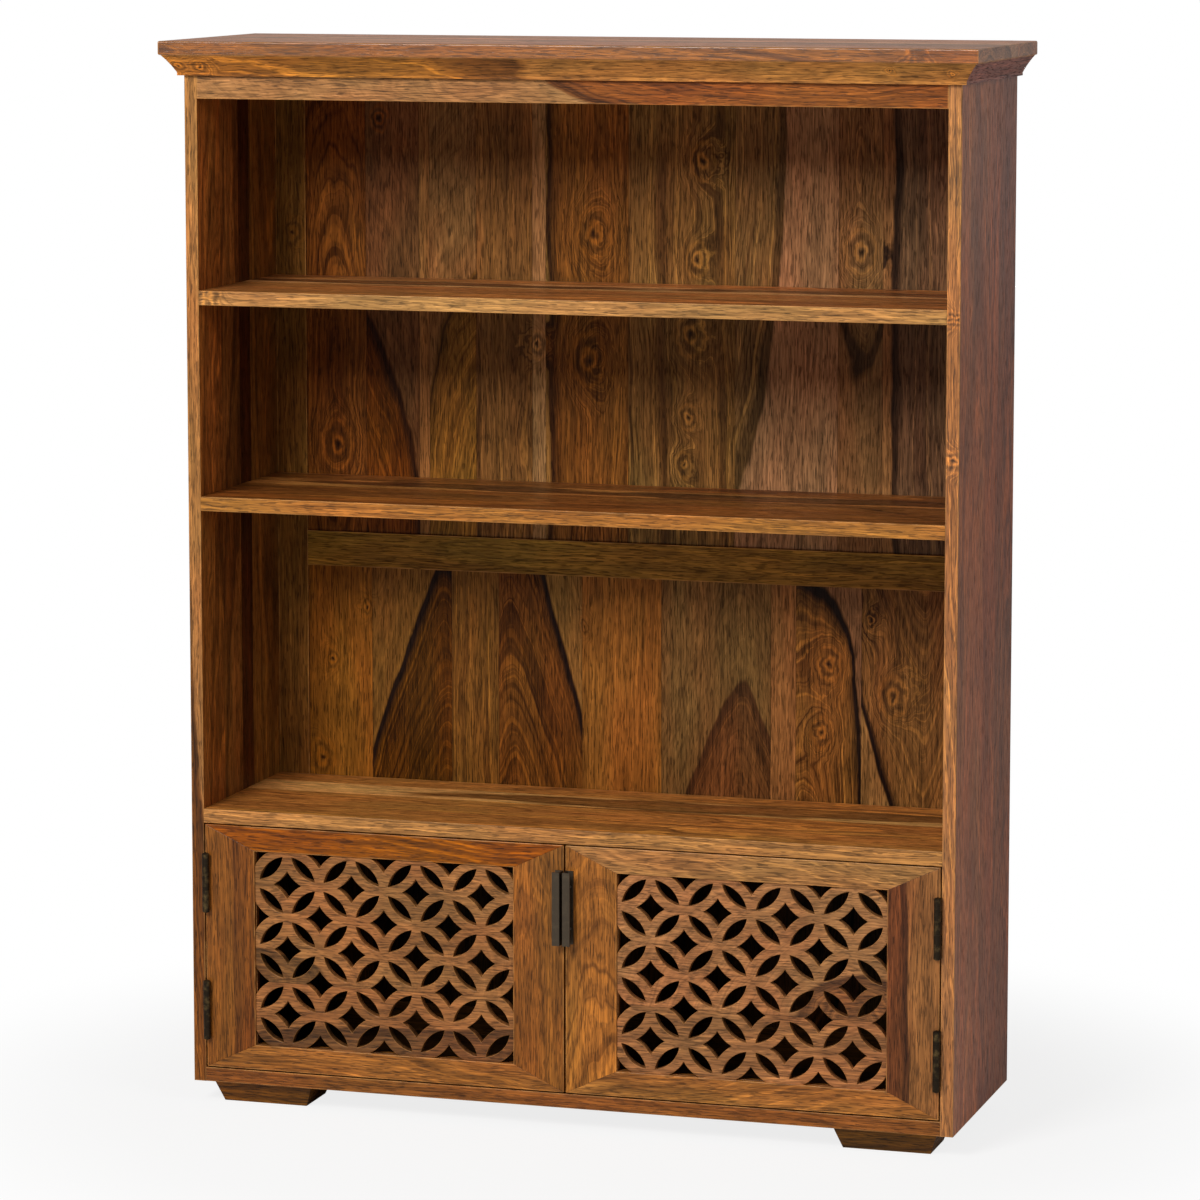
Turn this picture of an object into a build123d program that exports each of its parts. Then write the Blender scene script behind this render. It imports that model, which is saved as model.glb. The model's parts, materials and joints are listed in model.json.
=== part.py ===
from build123d import *
import math
import os

# Bookcase of solid sheesham with two lattice doors, in millimetres.
# X runs to the right, Y to the rear and Z up. The origin is on the floor,
# in the middle of the overall width and depth.

# ---- Carcass ---------------------------------------------------------------------------------
body_width = 1200.0
body_depth = 370.0
side_thickness = 20.0
board_thickness = 22.0
door_bay_height = 383.0
low_bay_height = 460.0
mid_bay_height = 292.0
top_bay_height = 290.0
frieze_reveal = 35.0
frieze_thickness = 20.0
edge_round = 1.2

# ---- Joints of the woodwork ------------------------------------------------------------------
glue_gap = 0.1
housing_depth = 6.0
housing_stop = 15.0
dowel_radius = 4.0
dowel_length = 30.0
dowel_in_crown = 12.0
dowel_end_inset = 60.0
frieze_dowel_spacing = 24.0

# ---- Crown: cornice moulding below, board on top ---------------------------------------------
crown_overhang = 30.0
crown_thickness = 21.0
crown_edge_round = 2.5
cornice_height = 31.0
cornice_top_overhang = 27.0
cornice_lip_overhang = 8.0
cornice_lip_height = 4.5
cornice_hollow = 1.0

# ---- Framed back -----------------------------------------------------------------------------
back_recess = 18.0
back_frame_thickness = 22.0
back_stile_width = 50.0
back_rail_height = 66.0
mid_rail_height = 55.0
mid_rail_drop = 69.0
back_panel_thickness = 12.0
back_panel_setback = 4.0
groove_depth = 8.0
panel_play = 0.5

# ---- Feet ------------------------------------------------------------------------------------
foot_height = 35.0
foot_width = 160.0
foot_depth = 110.0
foot_slant = 13.0
foot_side_inset = 27.0
foot_end_inset = 15.0
foot_screw_spacing = 80.0
foot_counterbore_radius = 5.5
foot_counterbore_depth = 14.0

# ---- Doors -----------------------------------------------------------------------------------
door_gap = 2.0
centre_gap = 3.0
door_thickness = 20.0
door_stile_width = 80.0
door_rail_height = 38.0
lattice_thickness = 14.0
lattice_setback = 3.0
tongue_thickness = 6.0
tongue_depth = 8.0
lattice_columns = 8
lattice_rows = 6
ring_band_inside = 0.125
ring_band_outside = 0.15
mitre_dowel_cover = 5.0

# ---- Butt hinges -----------------------------------------------------------------------------
hinge_length = 90.0
hinge_inset = 90.0
barrel_radius = 5.5
barrel_standoff = 0.6
leaf_thickness = 1.8
leaf_width = 25.0
leaf_mortise = 1.0
leaf_play = 0.3
knuckle_count = 5
knuckle_play = 0.3
knuckle_relief = 0.4
pin_running_gap = 0.05
pin_head_radius = 4.4
pin_head_height = 1.6
pin_crest_radius = 2.6
leaf_screw_pitch = 30.0
leaf_screw_stagger = 4.0

# ---- Channel handles -------------------------------------------------------------------------
handle_length = 112.0
handle_width = 12.0
handle_projection = 20.0
handle_sheet = 2.5
handle_edge_inset = 0.6
handle_top_drop = 38.0
handle_screw_pitch = 64.0
handle_screw_radius = 2.0
handle_screw_head_radius = 4.0
handle_screw_head_height = 2.4
handle_screw_crest_radius = 2.8
handle_edge_round = 0.6

# ---- Magnetic catches ------------------------------------------------------------------------
catch_offset = 110.0
catch_width = 30.0
catch_depth = 16.0
catch_height = 14.0
catch_ear_length = 11.0
catch_ear_thickness = 3.0
magnet_width = 22.0
magnet_height = 8.0
magnet_depth = 5.0
magnet_stand = 0.3
strike_width = 26.0
strike_height = 12.0
strike_thickness = 1.2
catch_air_gap = 0.3

# ---- Screws ----------------------------------------------------------------------------------
small_screw_length = 15.0
small_screw_radius = 1.6
small_screw_head_radius = 3.4
long_screw_length = 40.0
long_screw_radius = 2.2
long_screw_head_radius = 4.4
screw_gap = 0.1
screw_tip_length = 3.0
cross_slot_width = 1.0
cross_slot_depth = 1.0

# How far a cutter runs past the face that it opens.
cut_over = 1.0

# ---- Planes worked out from the sizes above --------------------------------------------------
inner_half = body_width / 2 - side_thickness
rear_y = (body_depth + crown_overhang) / 2
front_y = rear_y - body_depth
back_rear_y = rear_y - back_recess
back_inner_y = back_rear_y - back_frame_thickness
panel_front_y = back_inner_y + back_panel_setback
panel_rear_y = panel_front_y + back_panel_thickness

z_body = foot_height
z_cabinet_floor = z_body + board_thickness
z_cabinet_shelf = z_cabinet_floor + door_bay_height
z_lower_shelf = z_cabinet_shelf + board_thickness + low_bay_height
z_upper_shelf = z_lower_shelf + board_thickness + mid_bay_height
z_frieze = z_upper_shelf + board_thickness + top_bay_height
z_cornice = z_frieze + frieze_reveal
z_crown = z_cornice + cornice_height
z_top = z_crown + crown_thickness
z_mid_rail_top = z_lower_shelf - mid_rail_drop
z_mid_rail = z_mid_rail_top - mid_rail_height

board_levels = {
    "bottom_board": z_body,
    "cabinet_shelf": z_cabinet_shelf,
    "lower_shelf": z_lower_shelf,
    "upper_shelf": z_upper_shelf,
}

door_low_x = centre_gap / 2
door_high_x = inner_half - door_gap
door_low_z = z_cabinet_floor + door_gap
door_high_z = z_cabinet_shelf - door_gap
door_rear_y = front_y + door_thickness
opening_low_x = door_low_x + door_stile_width
opening_high_x = door_high_x - door_stile_width
opening_low_z = door_low_z + door_rail_height
opening_high_z = door_high_z - door_rail_height
tongue_y = front_y + lattice_setback + (lattice_thickness - tongue_thickness) / 2

bore_radius = barrel_radius - leaf_thickness
hinge_x = inner_half + leaf_mortise - glue_gap - barrel_radius
hinge_y = front_y - barrel_radius - barrel_standoff
leaf_front_y = hinge_y + barrel_radius + knuckle_relief
leaf_rear_y = front_y + leaf_width
fixed_leaf_x = hinge_x + bore_radius
door_leaf_x = fixed_leaf_x - leaf_play - leaf_thickness
hinge_centres = {
    "upper": door_high_z - hinge_inset,
    "lower": door_low_z + hinge_inset,
}

handle_high_z = door_high_z - handle_top_drop
handle_low_z = handle_high_z - handle_length
handle_x = door_low_x + handle_edge_inset
handle_screw_x = handle_x + (handle_sheet + handle_width) / 2
handle_screw_zs = [
    (handle_low_z + handle_high_z + step * handle_screw_pitch) / 2 for step in (-1, 1)
]

catch_front_y = door_rear_y + strike_thickness + catch_air_gap + magnet_stand
catch_centre_z = z_cabinet_shelf - catch_height / 2
strike_centre_z = min(catch_centre_z, door_high_z - strike_height / 2)

SIDES = {"left": -1, "right": 1}


def block(x0, x1, y0, y1, z0, z1):
    """Box between two corners."""
    box = Box(x1 - x0, y1 - y0, z1 - z0)
    return Pos((x0 + x1) / 2, (y0 + y1) / 2, (z0 + z1) / 2) * box


def on_side(solid, side):
    """A piece drawn on the right, or its mirror image for the left."""
    return solid if side > 0 else mirror(solid, about=Plane.YZ)


def along(x, y, z, direction, solid):
    """Stands a piece drawn along -Z at a point, so that it points in a direction."""
    reverse = tuple(-value for value in direction)
    return Plane(origin=(x, y, z), z_dir=reverse).location * solid


def group(solids):
    """Several separate solids kept under one name."""
    return Compound(children=list(solids))


def cut_all(solid, cutters):
    for cutter in cutters:
        solid = solid - cutter
    return solid


def turned(points):
    """Solid of revolution about Z from (radius, height) points."""
    profile = make_face(Polyline(*[(r, 0, z) for r, z in points], close=True))
    return revolve(profile, Axis.Z)


# ---- Fasteners -------------------------------------------------------------------------------


def screw_form(length, shank, head, grow=0.0):
    """Countersunk screw with its head's flat at Z 0, pointing down; grow makes its hole."""
    sink = head - shank
    return turned([
        (0, 0),
        (head + grow, 0),
        (shank + grow, -sink),
        (shank + grow, screw_tip_length - length - grow),
        (0, -length - grow),
    ])


def screw(length, shank, head):
    """Countersunk screw with a cross recess in its head."""
    recess = block(-shank, shank, -cross_slot_width / 2, cross_slot_width / 2, -cross_slot_depth, cut_over)
    solid = screw_form(length, shank, head) - recess
    return solid - Rot(0, 0, 90) * recess


def small_screw():
    return screw(small_screw_length, small_screw_radius, small_screw_head_radius)


def small_screw_hole():
    return screw_form(small_screw_length, small_screw_radius, small_screw_head_radius, screw_gap)


def long_screw():
    return screw(long_screw_length, long_screw_radius, long_screw_head_radius)


def long_screw_hole():
    return screw_form(long_screw_length, long_screw_radius, long_screw_head_radius, screw_gap)


def dowel(length, grow=0.0):
    """Plain beech dowel centred on the origin, along Z."""
    return Cylinder(dowel_radius + grow, length + 2 * grow)


# ---- Dowels of the crown and the frieze ------------------------------------------------------


def crown_dowel_places():
    """Dowels that stand in the sides' upper ends and the frieze, under the crown board."""
    side_x = body_width / 2 - side_thickness / 2
    z = z_crown + dowel_in_crown - dowel_length / 2
    side_ys = [front_y + dowel_end_inset, (front_y + rear_y) / 2, rear_y - dowel_end_inset]
    places = [Pos(sign * side_x, y, z) for sign in (-1, 1) for y in side_ys]
    frieze_y = front_y + frieze_thickness / 2
    frieze_x = inner_half - dowel_end_inset
    places += [Pos(x, frieze_y, z) for x in (-frieze_x, 0, frieze_x)]
    return places


def frieze_dowel_places():
    """Dowels that cross from the frieze's ends into the sides."""
    y = front_y + frieze_thickness / 2
    reach = side_thickness / 2
    middle = (z_frieze + z_cornice) / 2
    zs = [middle, middle + frieze_dowel_spacing]
    places = []
    for sign in (-1, 1):
        x = sign * (inner_half + reach - dowel_length / 2)
        places += [Pos(x, y, z) * Rot(0, 90, 0) for z in zs]
    return places


def carcass_dowels():
    places = crown_dowel_places() + frieze_dowel_places()
    return group(place * dowel(dowel_length) for place in places)


def carcass_dowel_holes():
    places = crown_dowel_places() + frieze_dowel_places()
    return [place * dowel(dowel_length, glue_gap) for place in places]


# ---- Boards ----------------------------------------------------------------------------------


def board(z):
    """Shelf or floor board whose ends sit in the sides, notched at the front corners."""
    reach = inner_half + housing_depth - glue_gap
    notch_y = front_y + housing_stop
    z1 = z + board_thickness
    solid = block(-reach, reach, front_y, back_inner_y, z, z1)
    for sign in (-1, 1):
        inner, outer = sorted((sign * inner_half, sign * (reach + cut_over)))
        solid -= block(
            inner, outer, front_y - cut_over, notch_y + glue_gap, z - cut_over, z1 + cut_over
        )
    front_edges = solid.edges().filter_by(Axis.X).group_by(Axis.Y)[0]
    return fillet(front_edges, edge_round)


def side_panel():
    """Right-hand side, with stopped housings, hinge mortises and dowel holes."""
    solid = block(inner_half, body_width / 2, front_y, rear_y, z_body, z_crown)
    solid = fillet(solid.edges().filter_by(Axis.Z), edge_round)
    mouth = inner_half - cut_over
    cutters = []
    for z in board_levels.values():
        low = z - glue_gap
        high = z + board_thickness + glue_gap
        outer = inner_half + housing_depth
        cutters.append(block(mouth, outer, front_y + housing_stop, back_inner_y, low, high))
    for z in hinge_centres.values():
        cutters.append(leaf_pocket(mouth, inner_half + leaf_mortise, z))
        cutters += leaf_screw_holes(fixed_leaf_x, z, 1)
    return cut_all(solid, cutters + carcass_dowel_holes())


def frieze_rail():
    """Rail that closes the top bay behind the cornice, between the sides."""
    solid = block(-inner_half, inner_half, front_y, front_y + frieze_thickness, z_frieze, z_crown)
    low_edge = solid.edges().filter_by(Axis.X).group_by(Axis.Z)[0].sort_by(Axis.Y)[0]
    return cut_all(fillet(low_edge, edge_round), carcass_dowel_holes())


def crown_board():
    """Top board that oversails the front and both sides."""
    half = body_width / 2 + crown_overhang
    solid = block(-half, half, front_y - crown_overhang, rear_y, z_crown, z_top)
    front_edges = solid.edges().filter_by(Axis.X).group_by(Axis.Y)[0]
    end_edges = solid.edges().filter_by(Axis.Y)
    return cut_all(fillet(front_edges + end_edges, crown_edge_round), carcass_dowel_holes())


# ---- Cornice ---------------------------------------------------------------------------------


def cornice_profile():
    """Section of the moulding: X is how far it stands proud, Y is its height."""
    low = (cornice_lip_overhang, z_cornice + cornice_lip_height)
    high = (cornice_top_overhang, z_crown)
    run = (high[0] - low[0], high[1] - low[1])
    size = math.hypot(*run)
    middle = (
        (low[0] + high[0]) / 2 - cornice_hollow * run[1] / size,
        (low[1] + high[1]) / 2 + cornice_hollow * run[0] / size,
    )
    outline = [
        Line((0, z_cornice), (cornice_lip_overhang, z_cornice)),
        Line((cornice_lip_overhang, z_cornice), low),
        ThreePointArc(low, middle, high),
        Line(high, (0, z_crown)),
        Line((0, z_crown), (0, z_cornice)),
    ]
    return make_face(Wire(outline))


def cornice_strip(origin, outward, run_length):
    """Moulding of a given length, starting at a point of the carcass's face."""
    face_plane = Plane(origin=origin, x_dir=outward, z_dir=Vector(*outward).cross(Vector(0, 0, 1)))
    return extrude(face_plane.location * cornice_profile(), amount=run_length)


def plan_wedge(points):
    """Vertical prism over a plan outline, as tall as the cornice and more."""
    outline = make_face(Polyline(*[(x, y, z_cornice - cut_over) for x, y in points], close=True))
    return extrude(outline, amount=cornice_height + 2 * cut_over, dir=(0, 0, 1))


def cornice_front():
    """Front moulding, mitred at both ends."""
    half = body_width / 2
    far = cornice_top_overhang
    length = body_width + 4 * far
    strip = cornice_strip((half + 2 * far, front_y, 0), (0, -1, 0), length)
    wedge = plan_wedge([
        (-half, front_y),
        (half, front_y),
        (half + far, front_y - far),
        (-half - far, front_y - far),
    ])
    return strip & wedge


def cornice_side():
    """Right-hand moulding, mitred at the front and square at the rear."""
    half = body_width / 2
    far = cornice_top_overhang
    length = body_depth + 2 * far
    strip = cornice_strip((half, rear_y, 0), (1, 0, 0), length)
    wedge = plan_wedge([
        (half, front_y),
        (half + far, front_y - far),
        (half + far, rear_y),
        (half, rear_y),
    ])
    return strip & wedge


# ---- Framed back -----------------------------------------------------------------------------


def groove(x0, x1, z0, z1):
    """Slot for a back panel's edge or a rail's stub tenon."""
    return block(x0, x1, panel_front_y - glue_gap, panel_rear_y + glue_gap, z0, z1)


def back_screw_places():
    """Screws that go through the back's stiles into the rear edges of the boards."""
    x = inner_half - back_stile_width / 2
    return [
        (sign * x, back_rear_y, z + board_thickness / 2)
        for sign in (-1, 1)
        for z in board_levels.values()
    ]


def back_screws():
    return group(along(*place, (0, -1, 0), long_screw()) for place in back_screw_places())


def back_screw_holes():
    return [along(*place, (0, -1, 0), long_screw_hole()) for place in back_screw_places()]


def back_stile():
    """Right-hand upright of the framed back."""
    inner_x = inner_half - back_stile_width
    solid = block(inner_x, inner_half, back_inner_y, back_rear_y, z_body, z_crown)
    solid -= groove(inner_x - cut_over, inner_x + groove_depth, z_body - cut_over, z_crown + cut_over)
    return cut_all(solid, back_screw_holes())


def back_rail(z0, z1, groove_below, groove_above):
    """Cross rail of the framed back, with a stub tenon at each end."""
    half = inner_half - back_stile_width
    tenon = half + groove_depth - glue_gap
    solid = block(-half, half, back_inner_y, back_rear_y, z0, z1)
    solid += block(-tenon, tenon, panel_front_y, panel_rear_y, z0, z1)
    reach = tenon + cut_over
    if groove_below:
        solid -= groove(-reach, reach, z0 - cut_over, z0 + groove_depth)
    if groove_above:
        solid -= groove(-reach, reach, z1 - groove_depth, z1 + cut_over)
    return solid


def back_panel(z0, z1):
    """Panel of upright boards, loose in its grooves."""
    margin = groove_depth - panel_play
    half = inner_half - back_stile_width + margin
    return block(-half, half, panel_front_y, panel_rear_y, z0 - margin, z1 + margin)


# ---- Feet ------------------------------------------------------------------------------------


def foot_centre(across, back):
    """Plan centre of a foot; across and back are -1 or 1."""
    x = across * (body_width / 2 - foot_side_inset - foot_width / 2)
    front = front_y + foot_end_inset + foot_depth / 2
    rear = back_rear_y - foot_end_inset - foot_depth / 2
    return x, (front if back < 0 else rear)


def foot_screw_places(across, back):
    x, y = foot_centre(across, back)
    z = foot_counterbore_depth
    return [(x + step * foot_screw_spacing / 2, y, z) for step in (-1, 1)]


def all_foot_screw_places():
    return [
        place
        for across in (-1, 1)
        for back in (-1, 1)
        for place in foot_screw_places(across, back)
    ]


def foot(across, back):
    """Block foot that narrows towards the floor, with its screws sunk in its underside."""
    x, y = foot_centre(across, back)
    top = Pos(x, y, z_body) * Rectangle(foot_width, foot_depth)
    sole = Pos(x, y, 0) * Rectangle(foot_width - 2 * foot_slant, foot_depth - 2 * foot_slant)
    solid = loft([sole.face(), top.face()])
    for place in foot_screw_places(across, back):
        mouth_height = foot_counterbore_depth + cut_over
        mouth = Cylinder(foot_counterbore_radius, mouth_height)
        solid -= Pos(place[0], place[1], foot_counterbore_depth - mouth_height / 2) * mouth
        solid -= along(*place, (0, 0, 1), long_screw_hole())
    return solid


def foot_screws():
    return group(along(*place, (0, 0, 1), long_screw()) for place in all_foot_screw_places())


def foot_screw_holes():
    return [along(*place, (0, 0, 1), long_screw_hole()) for place in all_foot_screw_places()]


# ---- Lattice: rings that overlap so that four petals meet around each diamond ----------------


def lattice_point(column, row):
    """Point of the door's opening, counted in ring spacings from its lower left corner."""
    x = opening_low_x + column * (opening_high_x - opening_low_x) / lattice_columns
    z = opening_low_z + row * (opening_high_z - opening_low_z) / lattice_rows
    return x, front_y, z


def arc_from(start, end, centre, radius):
    """Arc of a ring about a centre, between two points in ring spacings."""
    middle = ((start[0] + end[0]) / 2, (start[1] + end[1]) / 2)
    away = (middle[0] - centre[0], middle[1] - centre[1])
    reach = radius / math.hypot(*away)
    bulge = (centre[0] + away[0] * reach, centre[1] + away[1] * reach)
    return ThreePointArc(lattice_point(*start), lattice_point(*bulge), lattice_point(*end))


def leaf_hole(column, row):
    """Pointed leaf in the cell where two rings overlap."""
    rising = (column + row) % 2 == 0
    centres = [(column, row), (column + 1, row + 1)]
    if not rising:
        centres = [(column + 1, row), (column, row + 1)]
    radius = 1 - ring_band_inside
    half = math.sqrt(radius ** 2 - 0.5)
    lean = -1 if rising else 1
    step = half / math.sqrt(2)
    centre = (column + 0.5, row + 0.5)
    tips = [(centre[0] + s * step, centre[1] + s * lean * step) for s in (-1, 1)]
    arcs = [arc_from(tips[0], tips[1], ring, radius) for ring in centres]
    return Wire(arcs)


def diamond_hole(column, row):
    """Hollow-sided diamond left at a ring's centre, cut off at the edge of the opening."""
    radius = 1 + ring_band_outside
    reach = 1 - math.sqrt(radius ** 2 - 1)
    corners = []
    for dx, dz in ((1, 1), (-1, 1), (-1, -1), (1, -1)):
        inside_x = 0 <= column + dx <= lattice_columns
        inside_z = 0 <= row + dz <= lattice_rows
        if inside_x and inside_z:
            corners.append((dx, dz))
    edges = []
    for dx, dz in corners:
        along_x = (column + dx * reach, row)
        along_z = (column, row + dz * reach)
        edges.append(arc_from(along_x, along_z, (column + dx, row + dz), radius))
        for tip, across in ((along_x, (dx, -dz)), (along_z, (-dx, dz))):
            if across not in corners:
                edges.append(Line(lattice_point(*tip), lattice_point(column, row)))
    return Wire(edges)


def lattice_holes():
    leaves = [
        leaf_hole(column, row) for column in range(lattice_columns) for row in range(lattice_rows)
    ]
    diamonds = [
        diamond_hole(column, row)
        for column in range(lattice_columns + 1)
        for row in range(lattice_rows + 1)
        if (column + row) % 2 == 0
    ]
    return leaves + diamonds


def opening_block(margin, y0, y1):
    """Block as wide and high as the door's opening, grown by a margin on all four sides."""
    return block(
        opening_low_x - margin,
        opening_high_x + margin,
        y0,
        y1,
        opening_low_z - margin,
        opening_high_z + margin,
    )


def lattice_blank(margin):
    """Full-thickness panel, larger than the opening by a margin, with every hole through it."""
    low_x, high_x = opening_low_x - margin, opening_high_x + margin
    low_z, high_z = opening_low_z - margin, opening_high_z + margin
    rim = [
        (low_x, front_y, low_z),
        (high_x, front_y, low_z),
        (high_x, front_y, high_z),
        (low_x, front_y, high_z),
    ]
    sheet = Face(Wire(Polyline(*rim, close=True)), lattice_holes())
    blank = extrude(sheet, amount=lattice_thickness, dir=(0, 1, 0))
    return Pos(0, lattice_setback, 0) * blank


def lattice_panel():
    """Pierced panel with a thin tongue all round, which the door's frame holds."""
    margin = tongue_depth - panel_play
    solid = lattice_blank(margin)
    face_y = front_y + lattice_setback
    tongue_rear_y = tongue_y + tongue_thickness
    rear_y_limit = face_y + lattice_thickness + cut_over
    for y0, y1 in ((face_y - cut_over, tongue_y), (tongue_rear_y, rear_y_limit)):
        core = opening_block(-glue_gap, y0 - cut_over, y1 + cut_over)
        solid -= opening_block(margin + cut_over, y0, y1) - core
    return solid


# ---- Door frames: four mitred pieces, grooved for the lattice --------------------------------


def door_bar(outline):
    """One piece of a door's frame from its outline in the door's face."""
    face = make_face(Polyline(*[(x, front_y, z) for x, z in outline], close=True))
    solid = extrude(face, amount=door_thickness, dir=(0, 1, 0))
    slot = opening_block(tongue_depth, tongue_y - glue_gap, tongue_y + tongue_thickness + glue_gap)
    return cut_all(solid - slot, mitre_dowel_holes())


def mitre_dowel_places():
    """Middle of each mitre, where an upright dowel crosses it."""
    y = front_y + door_thickness / 2
    xs = (door_low_x + door_stile_width / 2, door_high_x - door_stile_width / 2)
    zs = (door_low_z + door_rail_height / 2, door_high_z - door_rail_height / 2)
    return [Pos(x, y, z) for x in xs for z in zs]


def mitre_dowels():
    length = door_rail_height - 2 * mitre_dowel_cover
    return group(place * dowel(length) for place in mitre_dowel_places())


def mitre_dowel_holes():
    length = door_rail_height - 2 * mitre_dowel_cover
    return [place * dowel(length, glue_gap) for place in mitre_dowel_places()]


def hinge_stile():
    """Stile at the cabinet's side, with the pockets for two hinge leaves."""
    solid = door_bar([
        (door_high_x, door_low_z),
        (door_high_x, door_high_z),
        (opening_high_x, opening_high_z),
        (opening_high_x, opening_low_z),
    ])
    for z in hinge_centres.values():
        solid -= leaf_pocket(door_leaf_x - glue_gap, door_high_x + cut_over, z)
        solid = cut_all(solid, leaf_screw_holes(door_leaf_x + leaf_thickness, z, -1))
    return solid


def meeting_stile():
    """Stile in the middle of the cabinet, bored for the handle's two screws."""
    solid = door_bar([
        (door_low_x, door_low_z),
        (opening_low_x, opening_low_z),
        (opening_low_x, opening_high_z),
        (door_low_x, door_high_z),
    ])
    return cut_all(solid, handle_screw_holes())


def door_top_rail():
    solid = door_bar([
        (door_low_x, door_high_z),
        (opening_low_x, opening_high_z),
        (opening_high_x, opening_high_z),
        (door_high_x, door_high_z),
    ])
    return solid - along(*strike_screw_place(), (0, -1, 0), small_screw_hole())


def door_bottom_rail():
    return door_bar([
        (door_low_x, door_low_z),
        (door_high_x, door_low_z),
        (opening_high_x, opening_low_z),
        (opening_low_x, opening_low_z),
    ])


# ---- Hinges ----------------------------------------------------------------------------------


def leaf_pocket(x0, x1, z):
    """Shallow mortise for a hinge leaf, open at the front."""
    half = hinge_length / 2 + glue_gap
    return block(x0, x1, front_y - cut_over, leaf_rear_y + glue_gap, z - half, z + half)


def leaf_screw_places(x, z):
    middle = (leaf_front_y + leaf_rear_y) / 2
    places = []
    for step in (-1, 0, 1):
        aside = leaf_screw_stagger if step == 0 else -leaf_screw_stagger
        places.append((x, middle + aside, z + step * leaf_screw_pitch))
    return places


def leaf_screw_holes(x, z, outward):
    return [along(*place, (outward, 0, 0), small_screw_hole()) for place in leaf_screw_places(x, z)]


def leaf_screws(x, z, outward):
    return [along(*place, (outward, 0, 0), small_screw()) for place in leaf_screw_places(x, z)]


def hinge_leaf(z, plate_x, neck_y, first, outward):
    """Leaf with its own knuckles, which are every second one, counted from first."""
    pitch = hinge_length / knuckle_count
    low = z - hinge_length / 2
    solid = block(plate_x, plate_x + leaf_thickness, leaf_front_y, leaf_rear_y, low, low + hinge_length)
    for index in range(first, knuckle_count, 2):
        z0 = low + index * pitch + (knuckle_play / 2 if index > 0 else 0)
        z1 = low + (index + 1) * pitch - (knuckle_play / 2 if index < knuckle_count - 1 else 0)
        knuckle = Pos(hinge_x, hinge_y, (z0 + z1) / 2) * Cylinder(barrel_radius, z1 - z0)
        neck = block(plate_x, plate_x + leaf_thickness, neck_y, leaf_front_y + cut_over, z0, z1)
        solid = solid + knuckle + neck
    solid -= Pos(hinge_x, hinge_y, z) * Cylinder(bore_radius, hinge_length + 2 * cut_over)
    screw_x = plate_x + (leaf_thickness if outward < 0 else 0)
    return cut_all(solid, leaf_screw_holes(screw_x, z, outward))


def carcass_leaf(z):
    """Leaf on the side panel, tangent to the barrel, with the end knuckles."""
    return hinge_leaf(z, fixed_leaf_x, hinge_y, 0, 1)


def door_leaf(z):
    """Leaf let into the door's edge, with the knuckles between."""
    neck_y = hinge_y + math.sqrt(bore_radius ** 2 - (door_leaf_x - hinge_x) ** 2)
    return hinge_leaf(z, door_leaf_x, neck_y, 1, -1)


def hinge_pin(z):
    """Pin with a low button at each end of the barrel."""
    shank = bore_radius - pin_running_gap
    end = hinge_length / 2 + glue_gap
    crest = end + pin_head_height
    return Pos(hinge_x, hinge_y, z) * turned([
        (0, -crest),
        (pin_crest_radius, -crest),
        (pin_head_radius, -end - pin_head_height / 2),
        (pin_head_radius, -end),
        (shank, -end),
        (shank, end),
        (pin_head_radius, end),
        (pin_head_radius, end + pin_head_height / 2),
        (pin_crest_radius, crest),
        (0, crest),
    ])


# ---- Handles ---------------------------------------------------------------------------------


def handle():
    """Channel bent from flat bar: a grip in front, a web at the door's edge, a flange behind."""
    grip_y = front_y - handle_projection
    x1 = handle_x + handle_width
    solid = block(handle_x, handle_x + handle_sheet, grip_y, front_y, handle_low_z, handle_high_z)
    solid += block(handle_x, x1, grip_y, grip_y + handle_sheet, handle_low_z, handle_high_z)
    solid += block(handle_x, x1, front_y - handle_sheet, front_y, handle_low_z, handle_high_z)
    for z in handle_screw_zs:
        solid -= Pos(handle_screw_x, front_y, z) * Rot(90, 0, 0) * Cylinder(
            handle_screw_radius + screw_gap, 2 * (handle_sheet + cut_over)
        )
    grip_edges = solid.edges().filter_by(Axis.Z).group_by(Axis.Y)[0]
    return fillet(grip_edges, handle_edge_round)


def handle_screw():
    """Machine screw, driven from inside the door, drawn from its head's seat along -Z."""
    reach = door_thickness + handle_sheet - screw_gap
    head_z = handle_screw_head_height
    solid = turned([
        (0, head_z),
        (handle_screw_crest_radius, head_z),
        (handle_screw_head_radius, head_z / 2),
        (handle_screw_head_radius, 0),
        (handle_screw_radius, 0),
        (handle_screw_radius, -reach),
        (0, -reach),
    ])
    slot = block(
        -handle_screw_radius,
        handle_screw_radius,
        -cross_slot_width / 2,
        cross_slot_width / 2,
        head_z - cross_slot_depth,
        head_z + cut_over,
    )
    return solid - slot - Rot(0, 0, 90) * slot


def handle_screws():
    return group(
        along(handle_screw_x, door_rear_y, z, (0, -1, 0), handle_screw()) for z in handle_screw_zs
    )


def handle_screw_holes():
    bore = Cylinder(handle_screw_radius + screw_gap, 2 * (door_thickness + cut_over))
    return [Pos(handle_screw_x, door_rear_y, z) * Rot(90, 0, 0) * bore for z in handle_screw_zs]


# ---- Magnetic catches ------------------------------------------------------------------------


def catch_screw_places():
    """Screws that go up through a catch's ears into the shelf above the doors."""
    step = catch_width / 2 + catch_ear_length / 2
    y = catch_front_y + catch_depth / 2
    z = z_cabinet_shelf - catch_ear_thickness
    return [(catch_offset + sign * step, y, z) for sign in (-1, 1)]


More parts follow.
